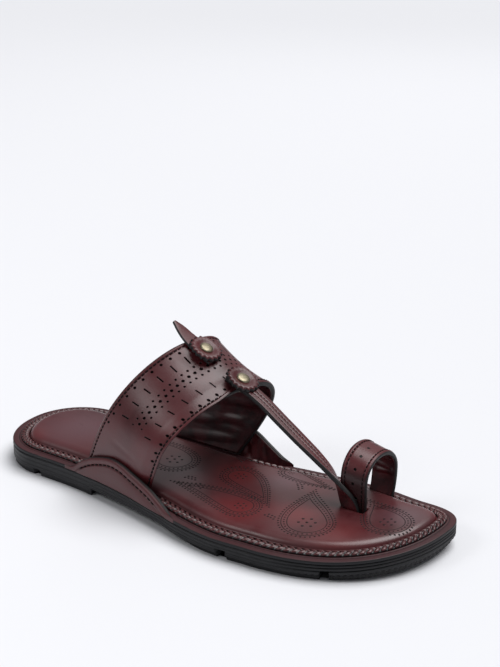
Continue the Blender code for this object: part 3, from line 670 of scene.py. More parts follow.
def make_outsole():
    """The rubber unit: a stack of rings whose inset gives the tread step, two grooves, the notches and the
    small teeth under the toe, a cosine along the outline with its tops and troughs flattened."""
    y = EDGE[:, 1]
    side = np.where(EDGE[:, 0] > 0, 1, -1)
    fore = ease(y, SHANK_END, FORE_FLAT)
    tread = HEEL_INSET + (TREAD_INSET - HEEL_INSET) * fore
    bottom = sole_bottom(y)
    foot = np.maximum(bottom + 0.6, TREAD_HEIGHT + spring(y))
    top = outsole_top(y)
    teeth = 0.5 - 0.5 * np.cos(2 * np.pi * EDGE_ALONG / TOOTH_PITCH)
    teeth = ease(teeth, 0.3, 0.7) * ease(y, *TEETH_RUN)
    notch = np.zeros(len(y))
    for which, start, end, depth in NOTCHES:
        inside = (side == which) & (y > start * LENGTH) & (y < end * LENGTH)
        notch = np.where(inside, depth, notch)
    rings = []
    low = sole_ring(tread + SOLE_ROUND, bottom)
    for share in np.linspace(0.97, 0.04, 24):
        ring = toward_spine(low, share)
        ring[:, 2] = sole_bottom(ring[:, 1])
        rings.append(ring)
    rings.append(sole_ring(tread + SOLE_ROUND + notch, bottom))
    for share in (0.15, 0.5, 0.85):
        inset = tread + notch + teeth * 0.5 + 0.1
        rings.append(sole_ring(inset, bottom + share * (foot - 0.1 - bottom)))
    fade = GROOVE_FADE + (1 - GROOVE_FADE) * ease(y, *GROOVE_RUN)
    for share in np.concatenate([[0.0, 0.01, 0.04], np.linspace(0.08, 1.0, 34)]):
        lip = LIP * (1 - ease(share, 0.0, 0.06)) + TEETH_DEEP * teeth * (1 - ease(share, 0.05, 0.16))
        grooves = GROOVE_DEPTH * fade * sum(hump(share, place, GROOVE_HALF) for place in GROOVES)
        ripple = RIPPLE * np.sin(share * RIPPLE_TURNS) * (1 - fade)
        inset = lip + grooves + ripple + TOP_ROUND * hump(share, 1.0, 0.08)
        inset = inset + notch * (share < np.where(y < HEEL_BREAST, NOTCH_TOP_HEEL, NOTCH_TOP_FORE))
        rings.append(sole_ring(inset, foot + share * (top - foot)))
    for share in (0.1, 0.9):
        rings.append(toward_spine(sole_ring(TOP_INSET, outsole_top), share))
    mesh = platform("rubber_unit", rings)
    piece("rubber_unit", mesh, RUBBER, ("outsole",))


# Side flaps: share of LENGTH, crest height and lean outward at the crest
FLAP_LATERAL = (
    (0.222, 13.0, 0.0), (0.243, 15.0, -0.6), (0.267, 20.0, -1.0), (0.292, 24.0, -1.3), (0.325, 27.3, -1.5),
    (0.356, 29.0, -1.6), (0.384, 28.0, -1.8), (0.413, 25.3, -2.1), (0.443, 22.7, -2.2), (0.472, 20.0, -2.0),
    (0.500, 16.5, -1.5), (0.528, 13.2, -0.6), (0.545, 12.0, 0.0),
)
FLAP_MEDIAL = (
    (0.243, 13.5, 0.0), (0.278, 18.0, 2.2), (0.313, 23.5, 4.6), (0.355, 28.5, 6.6), (0.410, 31.0, 7.4),
    (0.465, 29.5, 7.3), (0.510, 26.5, 6.2), (0.543, 21.6, 3.8), (0.580, 15.6, 1.2), (0.600, 12.6, 0.0),
)
FLAP_THICK, FLAP_SKIVE = 2.5, 9.0
# Folds on a flap's inner face: place along, slant and height
FOLDS_LATERAL = ((150.0, 0.4, 0.2),)
FOLDS_MEDIAL = ((112.0, 0.5, 0.7), (121.0, -0.3, -0.5), (129.0, 0.3, 0.8), (137.0, -0.4, -0.6),
                (145.0, 0.5, 0.8), (153.0, 0.2, -0.5))


def flap_share(y, table):
    """1 where a flap has its full thickness, easing to 0 over FLAP_SKIVE at both its ends."""
    first, last = table[0][0] * LENGTH, table[-1][0] * LENGTH
    return ease(y, first - 0.5, first + FLAP_SKIVE) * ease(y, last + 0.5, last - FLAP_SKIVE)


def flap_recess(x, y):
    """How far the board steps in, so that a flap's foot stands on the rubber beside it."""
    share = np.where(x > 0, flap_share(y, FLAP_LATERAL), flap_share(y, FLAP_MEDIAL))
    return (FLAP_THICK + 1.8 * GAP) * share


RIM_SQUARE, RIM_CORNER, RIM_DIP, RIM_DIP_HALF = 0.68, 0.62, 0.28, 0.55


def make_rim():
    """The board under the insole: an edge rounded as a quarter circle, and a flat rim with a pressed line."""
    x, y = EDGE.T
    recess = flap_recess(x, y)
    rows = [(0.0, 0.3)]
    rows += [(share, 0.0) for share in (0.12, 0.3, 0.5, RIM_SQUARE)]
    turn = np.linspace(0, np.pi / 2, 7)[1:]
    rows += [(RIM_SQUARE + (1 - RIM_SQUARE) * np.sin(a), RIM_CORNER * (1 - np.cos(a))) for a in turn]
    rows += [(1.0, inset) for inset in (1.2, 1.8, 2.6, 3.4, 3.8, 4.2, 4.6, 6.0, 11.0, 14.0)]
    rings = []
    notes = []
    for share, inset in rows:
        dip = RIM_DIP * hump(inset, RIM_CREASE, RIM_DIP_HALF) if share >= 1 else 0.0
        high = rim_top(y) - MIDSOLE_THICK * (1 - share) - dip
        rings.append(sole_ring(recess + inset, high))
        notes.append(spread(y.shape, share, inset, 0.0))
    rings.insert(0, toward_spine(rings[0], 0.5))
    notes.insert(0, notes[0])
    mesh = platform("rim_board", rings, {"place": np.concatenate(notes)})
    piece("rim_board", mesh, RIM, ("midsole",))


# Where the flaps interrupt the braid on the outer and on the inner side, and where the ring's far leg does
BRAID_GAPS = ((73.0, 131.0), (85.0, 145.0))
RING_MIDDLE_Y, RING_HALF = 234.1, 7.9
BRAID_PITCH, BRAID_STEP, STRAND_SLANT, BRAID_TAPER = 4.3, 0.42, 1.1, 8
BRAID_HIGH, CUT_DEEP, MIDDLE_DEEP = 1.95, 1.35, 0.35


def make_braid(name, node, front):
    """The raised strip: a low arch across, cut into slanting strands whose ridge is the absolute value of a
    sine. The strands lean one way on the outer half and the other way on the inner half, half a pitch apart,
    as in a plait. The ring's far leg interrupts it."""
    total = EDGE_STEP.sum()
    places = np.arange(0, total, BRAID_STEP)
    loop = np.append(EDGE_ALONG, total)

    def at(values):
        return np.interp(places, loop, np.append(values, values[0]))

    x, y, nx, ny = at(EDGE[:, 0]), at(EDGE[:, 1]), at(EDGE_IN[:, 0]), at(EDGE_IN[:, 1])
    low_end = np.where(x > 0, BRAID_GAPS[0][0], BRAID_GAPS[1][0])
    high_end = np.where(x > 0, BRAID_GAPS[0][1], BRAID_GAPS[1][1])
    order = np.arange(len(places)) if front else np.roll(np.arange(len(places)), -(len(places) // 2))
    kept = order[(y > high_end)[order] if front else (y < low_end)[order]]
    x, y, nx, ny, along = x[kept], y[kept], nx[kept], ny[kept], places[kept]
    across = np.linspace(0, 1, 19)
    u, s = np.meshgrid(across, along)
    arch_high = np.clip(1 - (2 * u - 1) ** 4, 0, 1) ** 0.5
    phase = s / BRAID_PITCH + np.abs(u - 0.5) * STRAND_SLANT + 0.5 * (u > 0.5)
    cut = 1 - np.abs(np.sin(np.pi * phase)) ** 0.7
    centre_line = hump(u, 0.5, 0.1) * 0.6
    rise = arch_high * (BRAID_HIGH - CUT_DEEP * cut - MIDDLE_DEEP * centre_line)
    leg = (x[:, None] < 0) & (u > 0.2) & (np.abs(y[:, None] - RING_MIDDLE_Y) < RING_HALF)
    rise = np.where(leg, 0.1, rise)
    from_end = np.minimum(np.arange(len(kept)), np.arange(len(kept))[::-1])
    taper = np.clip(from_end / BRAID_TAPER, 0.05, 1)[:, None]
    inset = BRAID_OUTER + u * (BRAID_INNER - BRAID_OUTER)
    top = np.stack([
        x[:, None] + nx[:, None] * inset,
        y[:, None] + ny[:, None] * inset,
        rim_top(y)[:, None] + 0.05 + rise * taper,
    ], -1)
    floor = top[:, ::-1].copy()[:, 1:-1:4]
    floor[..., 2] = rim_top(y)[:, None] + 0.02
    # How deep in a cut or how far off the arch a point lies: this sets the braid's painted shade and painted
    # highlight
    low = np.clip(cut + centre_line * 0.7 + (1 - arch_high) * 0.8, 0, 1)
    notes = {"place": np.concatenate([spread(u.shape, low, 0.0, 0.0), np.ones(floor.shape)], 1)}
    mesh = tube(name, np.concatenate([top, floor], 1), notes, flip=True)
    piece(name, mesh, BRAID, (node,))


PAD_ROLL, PAD_SQUARE, PAD_CROWN, CROWN_RUN = 6.0, 2.4, 0.9, 12
# Foot of the pad's edge: share of its thickness up, and how far in from its outline
PAD_FOOT = ((0.0, 1.0), (0.05, 0.045), (0.12, 0.024), (0.2, 0.0))
# The slit that the thong goes through: from and to across and along, and its depth as a share
SLIT, SLIT_DEEP = (-11.1, -5.3, 229.8, 242.0), 0.93


def distance_in(x, y):
    """Distance from each place to the outline, by the nearest of its points."""
    flat = np.column_stack([np.ravel(x), np.ravel(y)])
    edge = EDGE[::2]
    found = [np.sqrt(((part[:, None] - edge[None]) ** 2).sum(-1).min(1)) for part in np.array_split(flat, 60)]
    return np.concatenate(found).reshape(np.shape(x))


def within(value, low, high):
    """1 between low and high, easing to 0 just past both."""
    return ease(value, low - 0.5, low + 0.4) * ease(value, high + 0.5, high - 0.4)


def pad_top(x, y, lift=0.0):
    """Height of the insole: a roll inside its edge, near a quarter ellipse, then a low crown that nears its
    height as an exponential, less the slit."""
    inside = np.clip(distance_in(x, y) - INSOLE_INSET, 0, None)
    roll = np.clip(inside / PAD_ROLL, 0, 1)
    roll = np.sqrt(np.clip(1 - (1 - roll) ** PAD_SQUARE, 0, 1))
    crown = PAD_CROWN * (1 - np.exp(-inside / CROWN_RUN))
    slit = within(x, *SLIT[:2]) * within(y, *SLIT[2:])
    return rim_top(y) + GAP + (INSOLE_THICK * roll + crown) * (1 - SLIT_DEEP * slit) + lift


def make_insole():
    """The padded insole: rings at the roll's own angles, then rings drawn towards the middle line."""
    rings = []
    for share, inset in PAD_FOOT:
        rings.append(sole_ring(INSOLE_INSET + inset, lambda y: rim_top(y) + GAP + share * INSOLE_THICK))
    for inset in PAD_ROLL * (1 - np.cos(np.linspace(0.16, np.pi / 2, 14))):
        rings.append(sole_ring(INSOLE_INSET + inset, 0.0))
    edge = rings[-1]
    for share in np.linspace(0.03, 0.985, 34):
        rings.append(toward_spine(edge, share))
    rings = np.stack(rings)
    foot, tops = rings[len(PAD_FOOT) - 1], rings[len(PAD_FOOT):]
    tops[..., 2] = pad_top(tops[..., 0], tops[..., 1])
    tops[:3, :, 2] = np.maximum(tops[:3, :, 2], foot[:, 2])
    mesh = platform("insole_pad", rings)
    obj = piece("insole_pad", mesh, INSOLE, ("insole",))


# Printed leaves: middle of the round end, its radius, the tip of the tail and how far the tail bends aside
LEAVES = (
    ((3.5, 118.5), 13.5, (-16.0, 84.0), 8.0),
    ((-3.5, 161.5), 10.5, (9.0, 196.0), -7.0),
    ((25.5, 182.5), 10.5, (16.0, 138.5), 9.0),
    ((20.5, 223.0), 14.0, (-6.0, 200.5), -8.0),
    ((-3.5, 259.0), 12.5, (-24.5, 240.0), 6.0),
    ((-25.0, 182.0), 6.0, (-17.0, 212.0), 4.0),
)
# Small sprays of dots between the leaves: middle and turn in degrees
SPRAYS = ((-12.7, 196.2, 40.0), (15.8, 140.3, 100.0), (-17.8, 222.0, 20.0), (26.0, 203.0, 80.0),
          (20.0, 150.0, 60.0), (-22.0, 148.0, 60.0))
SPRAY_DOTS = ((-2.2, 1.1), (0.0, 1.3), (2.2, 1.1), (-3.3, -1.1), (-1.1, -1.0), (1.1, -1.0), (3.3, -1.1))
# A leaf's border: its width, and at most this share of the leaf's radius
LEAF_BORDER, LEAF_BORDER_SHARE = 3.2, 0.3
DOT_PITCH, DOT_RADIUS, DOT_SIDES, LINE_HALF, LINE_STEP = 2.5, 0.62, 8, 0.24, 0.5
INK_LIFT, INK_SINK = 0.05, 0.3


def round_length(line):
    """Length of a line that closes on itself."""
    return np.linalg.norm(np.roll(line, -1, 0) - line, axis=1).sum()


def leaf_line(middle, radius, tip, bend, inset):
    """The closed outline of a leaf, moved in by inset: half a circle about its middle, then two sides whose
    half width falls as a cosine along a spine that bends aside with the square of the distance."""
    middle, tip = np.array(middle), np.array(tip)
    ahead = (tip - middle) / np.linalg.norm(tip - middle)
    aside = np.array([-ahead[1], ahead[0]])
    reach = np.linalg.norm(tip - middle) - 2.2 * inset
    s = np.linspace(0, 1, 60)
    half = (radius - inset) * np.cos(s * np.pi / 2) ** 1.15
    spine = np.stack([reach * s, bend * s * s * (reach / np.linalg.norm(tip - middle)) ** 2], 1)
    turn = np.linspace(np.pi / 2, 3 * np.pi / 2, 40)[1:-1]
    back = (radius - inset) * np.stack([np.cos(turn), np.sin(turn)], 1)
    left = (spine + np.stack([0 * half, half], 1))[::-1]
    right = spine - np.stack([0 * half, half], 1)
    local = np.concatenate([left, back, right[:-1]])
    return middle + local[:, :1] * ahead + local[:, 1:] * aside


def spray(x, y, degrees):
    """Seven dots: three and four on two short rows."""
    turn = np.radians(degrees)
    local = np.array(SPRAY_DOTS)
    c, s = np.cos(turn), np.sin(turn)
    return np.column_stack([x + local @ (c, -s), y + local @ (s, c)])


def ink_dots(name, places, radii):
    """Ink dots: octagons drawn down through the leather, each with a point above and below its middle."""
    a = np.linspace(0, 2 * np.pi, DOT_SIDES, endpoint=False)
    ring = places[:, None] + radii[:, None, None] * np.stack([np.cos(a), np.sin(a)], 1)[None]
    plan = np.concatenate([places[:, None], ring, ring, places[:, None]], 1)
    high = pad_top(plan[..., 0], plan[..., 1], INK_LIFT)
    high[:, DOT_SIDES + 1:] -= INK_LIFT + INK_SINK
    above = 1 + np.arange(DOT_SIDES)
    beside = np.roll(above, -1)
    below, below_beside = above + DOT_SIDES, beside + DOT_SIDES
    last = 2 * DOT_SIDES + 1
    lids = [np.stack([0 * above, above, beside], 1), np.stack([0 * above + last, below_beside, below], 1)]
    tris = np.concatenate(lids)
    quads = np.stack([above, below, below_beside, beside], 1)
    step = (np.arange(len(places)) * (last + 1))[:, None, None]
    points = np.concatenate([plan, high[..., None]], -1).reshape(-1, 3)
    mesh = fill_mesh(name, points, (quads[None] + step).reshape(-1, 4), (tris[None] + step).reshape(-1, 3))
    piece(name, mesh, INK)


def ink_line(line):
    """An inked line that closes on itself: four edges of a narrow bar half sunk in the leather."""
    line = by_length(line, int(round_length(line) / LINE_STEP), closed=True)
    aside = inward(line)
    left, right = line + aside * LINE_HALF, line - aside * LINE_HALF
    plan = np.stack([left, right, right, left], 1)
    high = pad_top(plan[..., 0], plan[..., 1], INK_LIFT)
    high[:, 2:] -= INK_LIFT + INK_SINK
    points = np.concatenate([plan, high[..., None]], -1).reshape(-1, 3)
    r = np.arange(len(line))[:, None] * 4
    after = (r + 4) % (4 * len(line))
    c = np.arange(4)[None]
    d = (c + 1) % 4
    quads = np.stack([r + d, after + d, after + c, r + c], -1).reshape(-1, 4)
    return points, quads


def make_print():
    """The leaves: two outlines with a row of dots between, a fringe of dots outside and seven dots within."""
    places, radii, bars, faces = [], [], [], []
    for middle, radius, tip, bend in LEAVES:
        border = min(LEAF_BORDER, LEAF_BORDER_SHARE * radius)
        for inset in (0.0, border):
            points, quads = ink_line(leaf_line(middle, radius, tip, bend, inset))
            faces.append(quads + sum(len(bar) for bar in bars))
            bars.append(points)
        for inset, size in ((border / 2, 0.28 * border), (-1.5, 1.0)):
            line = leaf_line(middle, radius, tip, bend, inset)
            dots = by_length(line, int(round_length(line) / DOT_PITCH), closed=True)
            places.append(dots)
            radii.append(np.full(len(dots), DOT_RADIUS * size))
        turn = np.arange(6) * np.pi / 3
        core = np.array(middle) + 0.42 * (radius - border) * np.stack([np.cos(turn), np.sin(turn)], 1)
        places += [core, np.array([middle])]
        radii.append(np.full(7, DOT_RADIUS * 0.1 * radius))
    for x, y, degrees in SPRAYS:
        places.append(spray(x, y, degrees))
        radii.append(np.full(7, DOT_RADIUS * 1.1))
    places, radii = np.concatenate(places), np.concatenate(radii)
    x0, x1, y0, y1 = SLIT
    off_slit = (np.abs(places[:, 0] - (x0 + x1) / 2) > 6) | (np.abs(places[:, 1] - (y0 + y1) / 2) > 10)
    ink_dots("print_dots", places[off_slit], radii[off_slit])
    mesh = fill_mesh("print_lines", np.concatenate(bars), np.concatenate(faces))
    piece("print_lines", mesh, INK)


# Each edge of the band and of the ring is an arch: feet, sides and where these end, top, the powers of the
# two shoulders and of the second leg's easing. The first leg eases by LEG_EASE. The band's edges lie in
# sloping planes.
LEG_EASE = 2.0
BAND_REAR = dict(foot_a=(34.6, 14.3), foot_b=(-31.6, 14.3), side_a=37.2, side_b=-38.8, side_z=44.0,
                 top=(-8.0, 90.4), square_a=2.0, square_b=3.4, ease_b=1.5)
BAND_FRONT = dict(foot_a=(40.0, 13.6), foot_b=(-33.8, 13.3), side_a=43.4, side_b=-43.8, side_z=40.0,
                  top=(-2.0, 71.0), square_a=2.0, square_b=2.7, ease_b=1.4)
BAND_REAR_PLANE = (76.8, -0.20, 0.50)
BAND_FRONT_PLANE = (127.3, -0.158, 0.446)
BAND_THICK, BAND_SADDLE = 2.8, 2.0
RING_REAR = dict(foot_a=(-7.6, 12.5), foot_b=(-40.0, 12.4), side_a=-7.2, side_b=-43.4, side_z=32.0,
                 top=(-24.0, 48.2), square_a=2.1, square_b=2.1, ease_b=2.0)
RING_FRONT = dict(foot_a=(-8.2, 12.5), foot_b=(-39.9, 12.4), side_a=-8.4, side_b=-43.5, side_z=30.0,
                  top=(-25.0, 44.4), square_a=2.1, square_b=2.1, ease_b=2.0)
# Along the sandal: the ring's rear edge at its near foot and over the toe, then at its far foot, and its
# front edge
RING_REAR_Y, RING_FAR_FOOT_Y, RING_FRONT_Y = (232.5, 227.0), 227.5, 241.0
RING_THICK = 2.6


def arch(foot_a, foot_b, side_a, side_b, side_z, top, square_a, square_b, ease_b, points):
    """An arch in x and z from one foot to the other, at equal steps along its length: above side_z two
    superellipse quarters that meet at the top, and below each leg eases out from its foot to its side."""
    def leg(foot, side, power):
        t = np.linspace(0, 1, 40)
        return np.stack([side + (foot[0] - side) * (1 - t) ** power, foot[1] + (side_z - foot[1]) * t], 1)

    def quarter(side, square):
        a = np.linspace(0, np.pi / 2, 200)
        x = top[0] + (side - top[0]) * np.cos(a) ** (2 / square)
        return np.stack([x, side_z + (top[1] - side_z) * np.sin(a) ** (2 / square)], 1)

    first = np.concatenate([leg(foot_a, side_a, LEG_EASE), quarter(side_a, square_a)[1:]])
    second = np.concatenate([leg(foot_b, side_b, ease_b), quarter(side_b, square_b)[1:]])[::-1]
    return by_length(np.concatenate([first, second[1:]]), points)


def in_plane(points, plane):
    """The points (x, z) laid in the plane y = first + second x + third z."""
    y = plane[0] + plane[1] * points[:, 0] + plane[2] * points[:, 1]
    return np.stack([points[:, 0], y, points[:, 1]], 1)


def ring_edges(count):
    """The ring's two edges: the front one stands in one plane, the rear one goes from its place at each foot
    to its place over the toe by a soft S of its legs' height."""
    rear, front = arch(points=count, **RING_REAR), arch(points=count, **RING_FRONT)
    lean = ease(rear[:, 1], RING_REAR["foot_a"][1], RING_REAR["side_z"])
    foot_y = np.where(rear[:, 0] > RING_REAR["top"][0], RING_REAR_Y[0], RING_FAR_FOOT_Y)
    rear_y = foot_y + (RING_REAR_Y[1] - foot_y) * lean
    rear = np.stack([rear[:, 0], rear_y, rear[:, 1]], 1)
    return rear, np.stack([front[:, 0], np.full(count, RING_FRONT_Y), front[:, 1]], 1)


def unit(vectors):
    """The vectors at length 1."""
    return vectors / np.maximum(np.linalg.norm(vectors, axis=-1), 1e-9)[..., None]


def sheet_between(rear, front, shares, dip):
    """Points of the ruled sheet between two arches, sunk in its middle as a sine, with its outward unit
    normals from the differences along and across."""
    v = np.asarray(shares)
    hollow = np.sin(np.linspace(0, np.pi, len(rear))) ** 2
    points = rear[:, None] * (1 - v)[None, :, None] + front[:, None] * v[None, :, None]
    points[..., 2] -= dip * np.sin(np.pi * v)[None] * hollow[:, None]
    normal = unit(np.cross(np.gradient(points, axis=1), np.gradient(points, axis=0)))
    return points, normal


# How far back a pared front edge reaches, how far it is drawn forward and how much it is thinned
PARED_WIDTH, PARED_LIP, PARED_DEPTH = 9.0, 1.5, 1.3
CUT_BULGE, EDGE_TURN = 0.95, np.linspace(0, np.pi, 9)[1:-1]
INNER_COLUMNS, INNER_MARGIN = 34, 0.02
# Shares across a strap between which its lining's folds have their full height
FOLDS_CLEAR = (0.25, 0.8)


def make_strap(name, rear, front, dip, thick, material, bead, shares, seams, folds, relief=None, pared=None):
    """A strap with rounded cut edges. The outer face has a bead along each edge and a pressed stitch line
    beside it, plus relief, a function of along and across in millimetres. Where pared, a function of along,
    is 1, the outer face runs forward and down to a thin front edge. The inner face has soft folds that slant
    across it. Notes: place holds along and the distances from both edges, side holds paint on the edges, the
    share across and 1 on the back."""
    v = 0.35 * (0.5 - 0.5 * np.cos(np.linspace(0, np.pi, shares))) + 0.65 * np.linspace(0, 1, shares)
    points, normal = sheet_between(rear, front, v, dip)
    width = np.linalg.norm(front - rear, axis=1)[:, None]
    wide = unit(front - rear)[:, None]
    along = run_along(points[:, shares // 2])[:, None]
    from_rear, from_front = v[None] * width, (1 - v[None]) * width
    raised = relief(along, from_rear, from_front) if relief else 0.0
    for near, seam in zip((from_rear, from_front), seams):
        raised = raised + bead * (hump(near, 0.47 * seam, 0.53 * seam) - 0.9 * hump(near, seam, 0.6))
    thin = (pared(along) if pared else 0.0 * along)[..., None]
    near_front = ease(from_front, PARED_WIDTH, 0.0)[..., None] * thin
    outer = points + normal * raised[..., None] + (wide * PARED_LIP - normal * PARED_DEPTH) * near_front
    inner_v = np.linspace(INNER_MARGIN, 1 - INNER_MARGIN, INNER_COLUMNS)
    inner, inner_normal = sheet_between(rear, front, inner_v, dip)
    slack = 0.0 * inner_v[None] * along
    for place, slant, half, high in folds:
        slack = slack + high * hump(along + slant * inner_v[None] * width, place, half)
    clear = ease(inner_v, INNER_MARGIN, FOLDS_CLEAR[0]) * ease(inner_v, 1 - INNER_MARGIN, FOLDS_CLEAR[1])
    inner = (inner - inner_normal * (thick + slack * clear[None])[..., None])[:, ::-1]
    bulge = np.sin(EDGE_TURN)[None, :, None] * (CUT_BULGE - 0.5 * thin)
    upper = (1 + np.cos(EDGE_TURN))[None, :, None] / 2
    front_edge = points[:, -1:] - normal[:, -1:] * (thick - (thick - PARED_DEPTH * thin) * upper)
    front_edge = front_edge + wide * (bulge + PARED_LIP * thin * upper)
    rear_edge = points[:, :1] - normal[:, :1] * thick * upper
    rear_edge = rear_edge - wide * CUT_BULGE * np.sin(EDGE_TURN)[None, :, None]
    rings = np.concatenate([outer, front_edge, inner, rear_edge], 1)
    shape = rings.shape[:2]
    counts = (shares, len(EDGE_TURN), INNER_COLUMNS, len(EDGE_TURN))
    across = np.concatenate([v, np.ones(len(EDGE_TURN)), inner_v[::-1], np.zeros(len(EDGE_TURN))])
    paint, back = np.repeat((0, 1, 0, 1), counts), np.repeat((0, 0, 1, 0), counts)
    notes = {"place": spread(shape, along, across * width, (1 - across) * width),
             "side": spread(shape, paint, across, back)}
    piece(name, tube(name, rings, notes), material, ("upper",))


STITCH_AROUND, STITCH_ALONG, STITCH_SINK, STITCH_LIFT = 6, 6, 0.25, 0.25
# Half the run over which a stitch takes its direction from the path
STITCH_LOOK = 0.6


def stitches(name, path, normal, pitch, length, width):
    """A row of short threads: each is a tube whose radius swells as a power of a sine from end to end, laid
    along the path at equal steps. path and normal run together."""
    step = run_along(path)
    places = np.arange(pitch, step[-1] - pitch, pitch)

    def at(values, shift=0.0):
        return np.stack([np.interp(places + shift, step, column) for column in values.T], 1)

    ahead = unit(at(path, STITCH_LOOK) - at(path, -STITCH_LOOK))
    out = unit(at(normal))
    aside = np.cross(out, ahead)
    t = np.linspace(0, np.pi, STITCH_ALONG + 2)[1:-1][:, None]
    a = np.linspace(0, 2 * np.pi, STITCH_AROUND, endpoint=False)[None]
    thick = np.sin(t) ** 0.4 * width / 2
    high = thick * np.sin(a) - STITCH_SINK * width + STITCH_LIFT * width * np.sin(t)
    local = spread(high.shape, -np.cos(t) * length / 2, thick * np.cos(a), high)
    frames = np.stack([ahead, aside, out], 1)
    world = at(path)[:, None, None] + (local[None, ..., None] * frames[:, None, None]).sum(-2)
    caps = np.arange(STITCH_AROUND)
    fan = np.stack([0 * caps[2:], caps[2:], caps[1:-1]], 1)
    last = fan[:, ::-1] + (STITCH_ALONG - 1) * STITCH_AROUND
    offsets = (np.arange(len(places)) * STITCH_ALONG * STITCH_AROUND)[:, None, None]
    quads = grid_faces(STITCH_ALONG, STITCH_AROUND)[None] + offsets
    tris = np.concatenate([fan, last])[None] + offsets
    mesh = fill_mesh(name, world.reshape(-1, 3), quads.reshape(-1, 4), tris.reshape(-1, 3))
    piece(name, mesh, THREAD)


def strap_line(rear, front, dip, distance, from_rear, lift):
    """The line on a strap's outer face that keeps a distance from one edge, and its normals. It is sunk as
    the sheet is."""
    width = np.linalg.norm(front - rear, axis=1)
    v = distance / width if from_rear else 1 - distance / width
    hollow = np.sin(np.linspace(0, np.pi, len(rear))) ** 2
    line = rear * (1 - v)[:, None] + front * v[:, None]
    line[:, 2] -= dip * np.sin(np.pi * v) * hollow
    normal = unit(np.cross(front - rear, np.gradient(line, axis=0)))
    return line + normal * lift, normal


# Points along and across the outer faces of the band and the ring, and the height of their beads
BAND_ALONG, BAND_ACROSS, BAND_BEAD = 420, 64, 0.42
RING_ALONG, RING_ACROSS, RING_BEAD = 220, 36, 0.3
# How far the stitch lines lie from the rear and front edges
BAND_SEAMS, RING_SEAMS = (1.7, 1.9), (1.7, 1.7)
# Pitch, length and width of the stitches
REAR_STITCH, FRONT_STITCH, RING_STITCH = (2.9, 2.2, 1.0), (2.9, 2.1, 1.15), (2.5, 1.8, 0.8)
THONG_STITCH, FLAP_STITCH = (2.4, 1.9, 0.5), (3.6, 2.6, 0.8)
# The band's low waves, and its crease above the outer foot: place along, slant, half width and depth
BAND_WAVE, CREASE_AT, CREASE_SLANT, CREASE_HALF, CREASE_DEEP = 0.14, 30.0, 0.25, 3.2, 0.3
# Folds of the band's lining and of the ring's on its far leg: place along, slant, half width and height
BAND_FOLDS = ((168.0, 0.25, 5.0, 0.7), (171.0, -0.15, 4.5, 0.5), (184.0, 0.30, 5.0, 0.7),
              (181.0, -0.05, 4.5, 0.5), (196.0, 0.20, 5.0, 0.6), (22.0, -0.2, 4.5, 0.4))
RING_FOLDS = ((58.0, 0.1, 2.2, 0.6), (63.0, -0.15, 2.0, 0.7), (67.5, 0.2, 2.0, 0.8), (72.0, -0.1, 2.0, 0.8),
              (77.0, 0.15, 2.0, 0.8))
# Where the band is drawn up against the riveted tab: middle across the foot, height and half width
SEAT_X, SEAT_RISE, SEAT_HALF = -7.0, 1.95, 17.0


def make_band():
    """The instep band with its beaded edges, a soft crease above the outer foot, a low rise under the tab,
    and two rows of stitches."""
    rear = in_plane(arch(points=BAND_ALONG, **BAND_REAR), BAND_REAR_PLANE)
    front = in_plane(arch(points=BAND_ALONG, **BAND_FRONT), BAND_FRONT_PLANE)
    middle = (rear + front) / 2
    seat = np.interp(-SEAT_X, -middle[:, 0], run_along(middle))

    def relief(along, from_rear, from_front):
        """Low waves, a product of two sines, less a slanting crease, plus the rise under the tab."""
        wave = np.sin(along / 17 + from_rear / 23) * np.sin(from_rear / 15 + 1)
        crease = hump(along + from_rear * CREASE_SLANT, CREASE_AT, CREASE_HALF)
        crease = crease * ease(from_rear, 8, 20) * ease(from_front, 8, 20)
        rise = hump(along, seat, SEAT_HALF) * ease(from_rear, -6.0, 11.0) * ease(from_rear, 31.0, 19.0)
        return BAND_WAVE * wave - CREASE_DEEP * crease + SEAT_RISE * rise

    def pared(along):
        """1 on the band's outer half."""
        return ease(along, 100.0, 82.0)

    make_strap("instep_band", rear, front, BAND_SADDLE, BAND_THICK, BAND, BAND_BEAD, BAND_ACROSS, BAND_SEAMS,
               BAND_FOLDS, relief, pared)
    line, normal = strap_line(rear, front, BAND_SADDLE, BAND_SEAMS[0], True, -0.05)
    stitches("band_stitches_rear", line, normal, *REAR_STITCH)
    line, normal = strap_line(rear, front, BAND_SADDLE, BAND_SEAMS[1], False, -0.05)
    along = np.linspace(0, run_along(line)[-1], BAND_ALONG)
    shift = (pared(along) * ease(BAND_SEAMS[1], PARED_WIDTH, 0.0))[:, None]
    line = line + (unit(front - rear) * PARED_LIP - normal * PARED_DEPTH) * shift
    stitches("band_stitches_front", line + normal * 0.15, normal, *FRONT_STITCH)


def make_toe_ring():
    """The ring over the big toe with its beaded edges, soft folds in its lining and two rows of stitches."""
    rear, front = ring_edges(RING_ALONG)
    make_strap("toe_ring", rear, front, 0.0, RING_THICK, RING, RING_BEAD, RING_ACROSS, RING_SEAMS, RING_FOLDS)
    for name, seam, from_rear in (("ring_stitches_rear", RING_SEAMS[0], True),
                                  ("ring_stitches_front", RING_SEAMS[1], False)):
        line, normal = strap_line(rear, front, 0.0, seam, from_rear, -0.05)
        stitches(name, line, normal, *RING_STITCH)


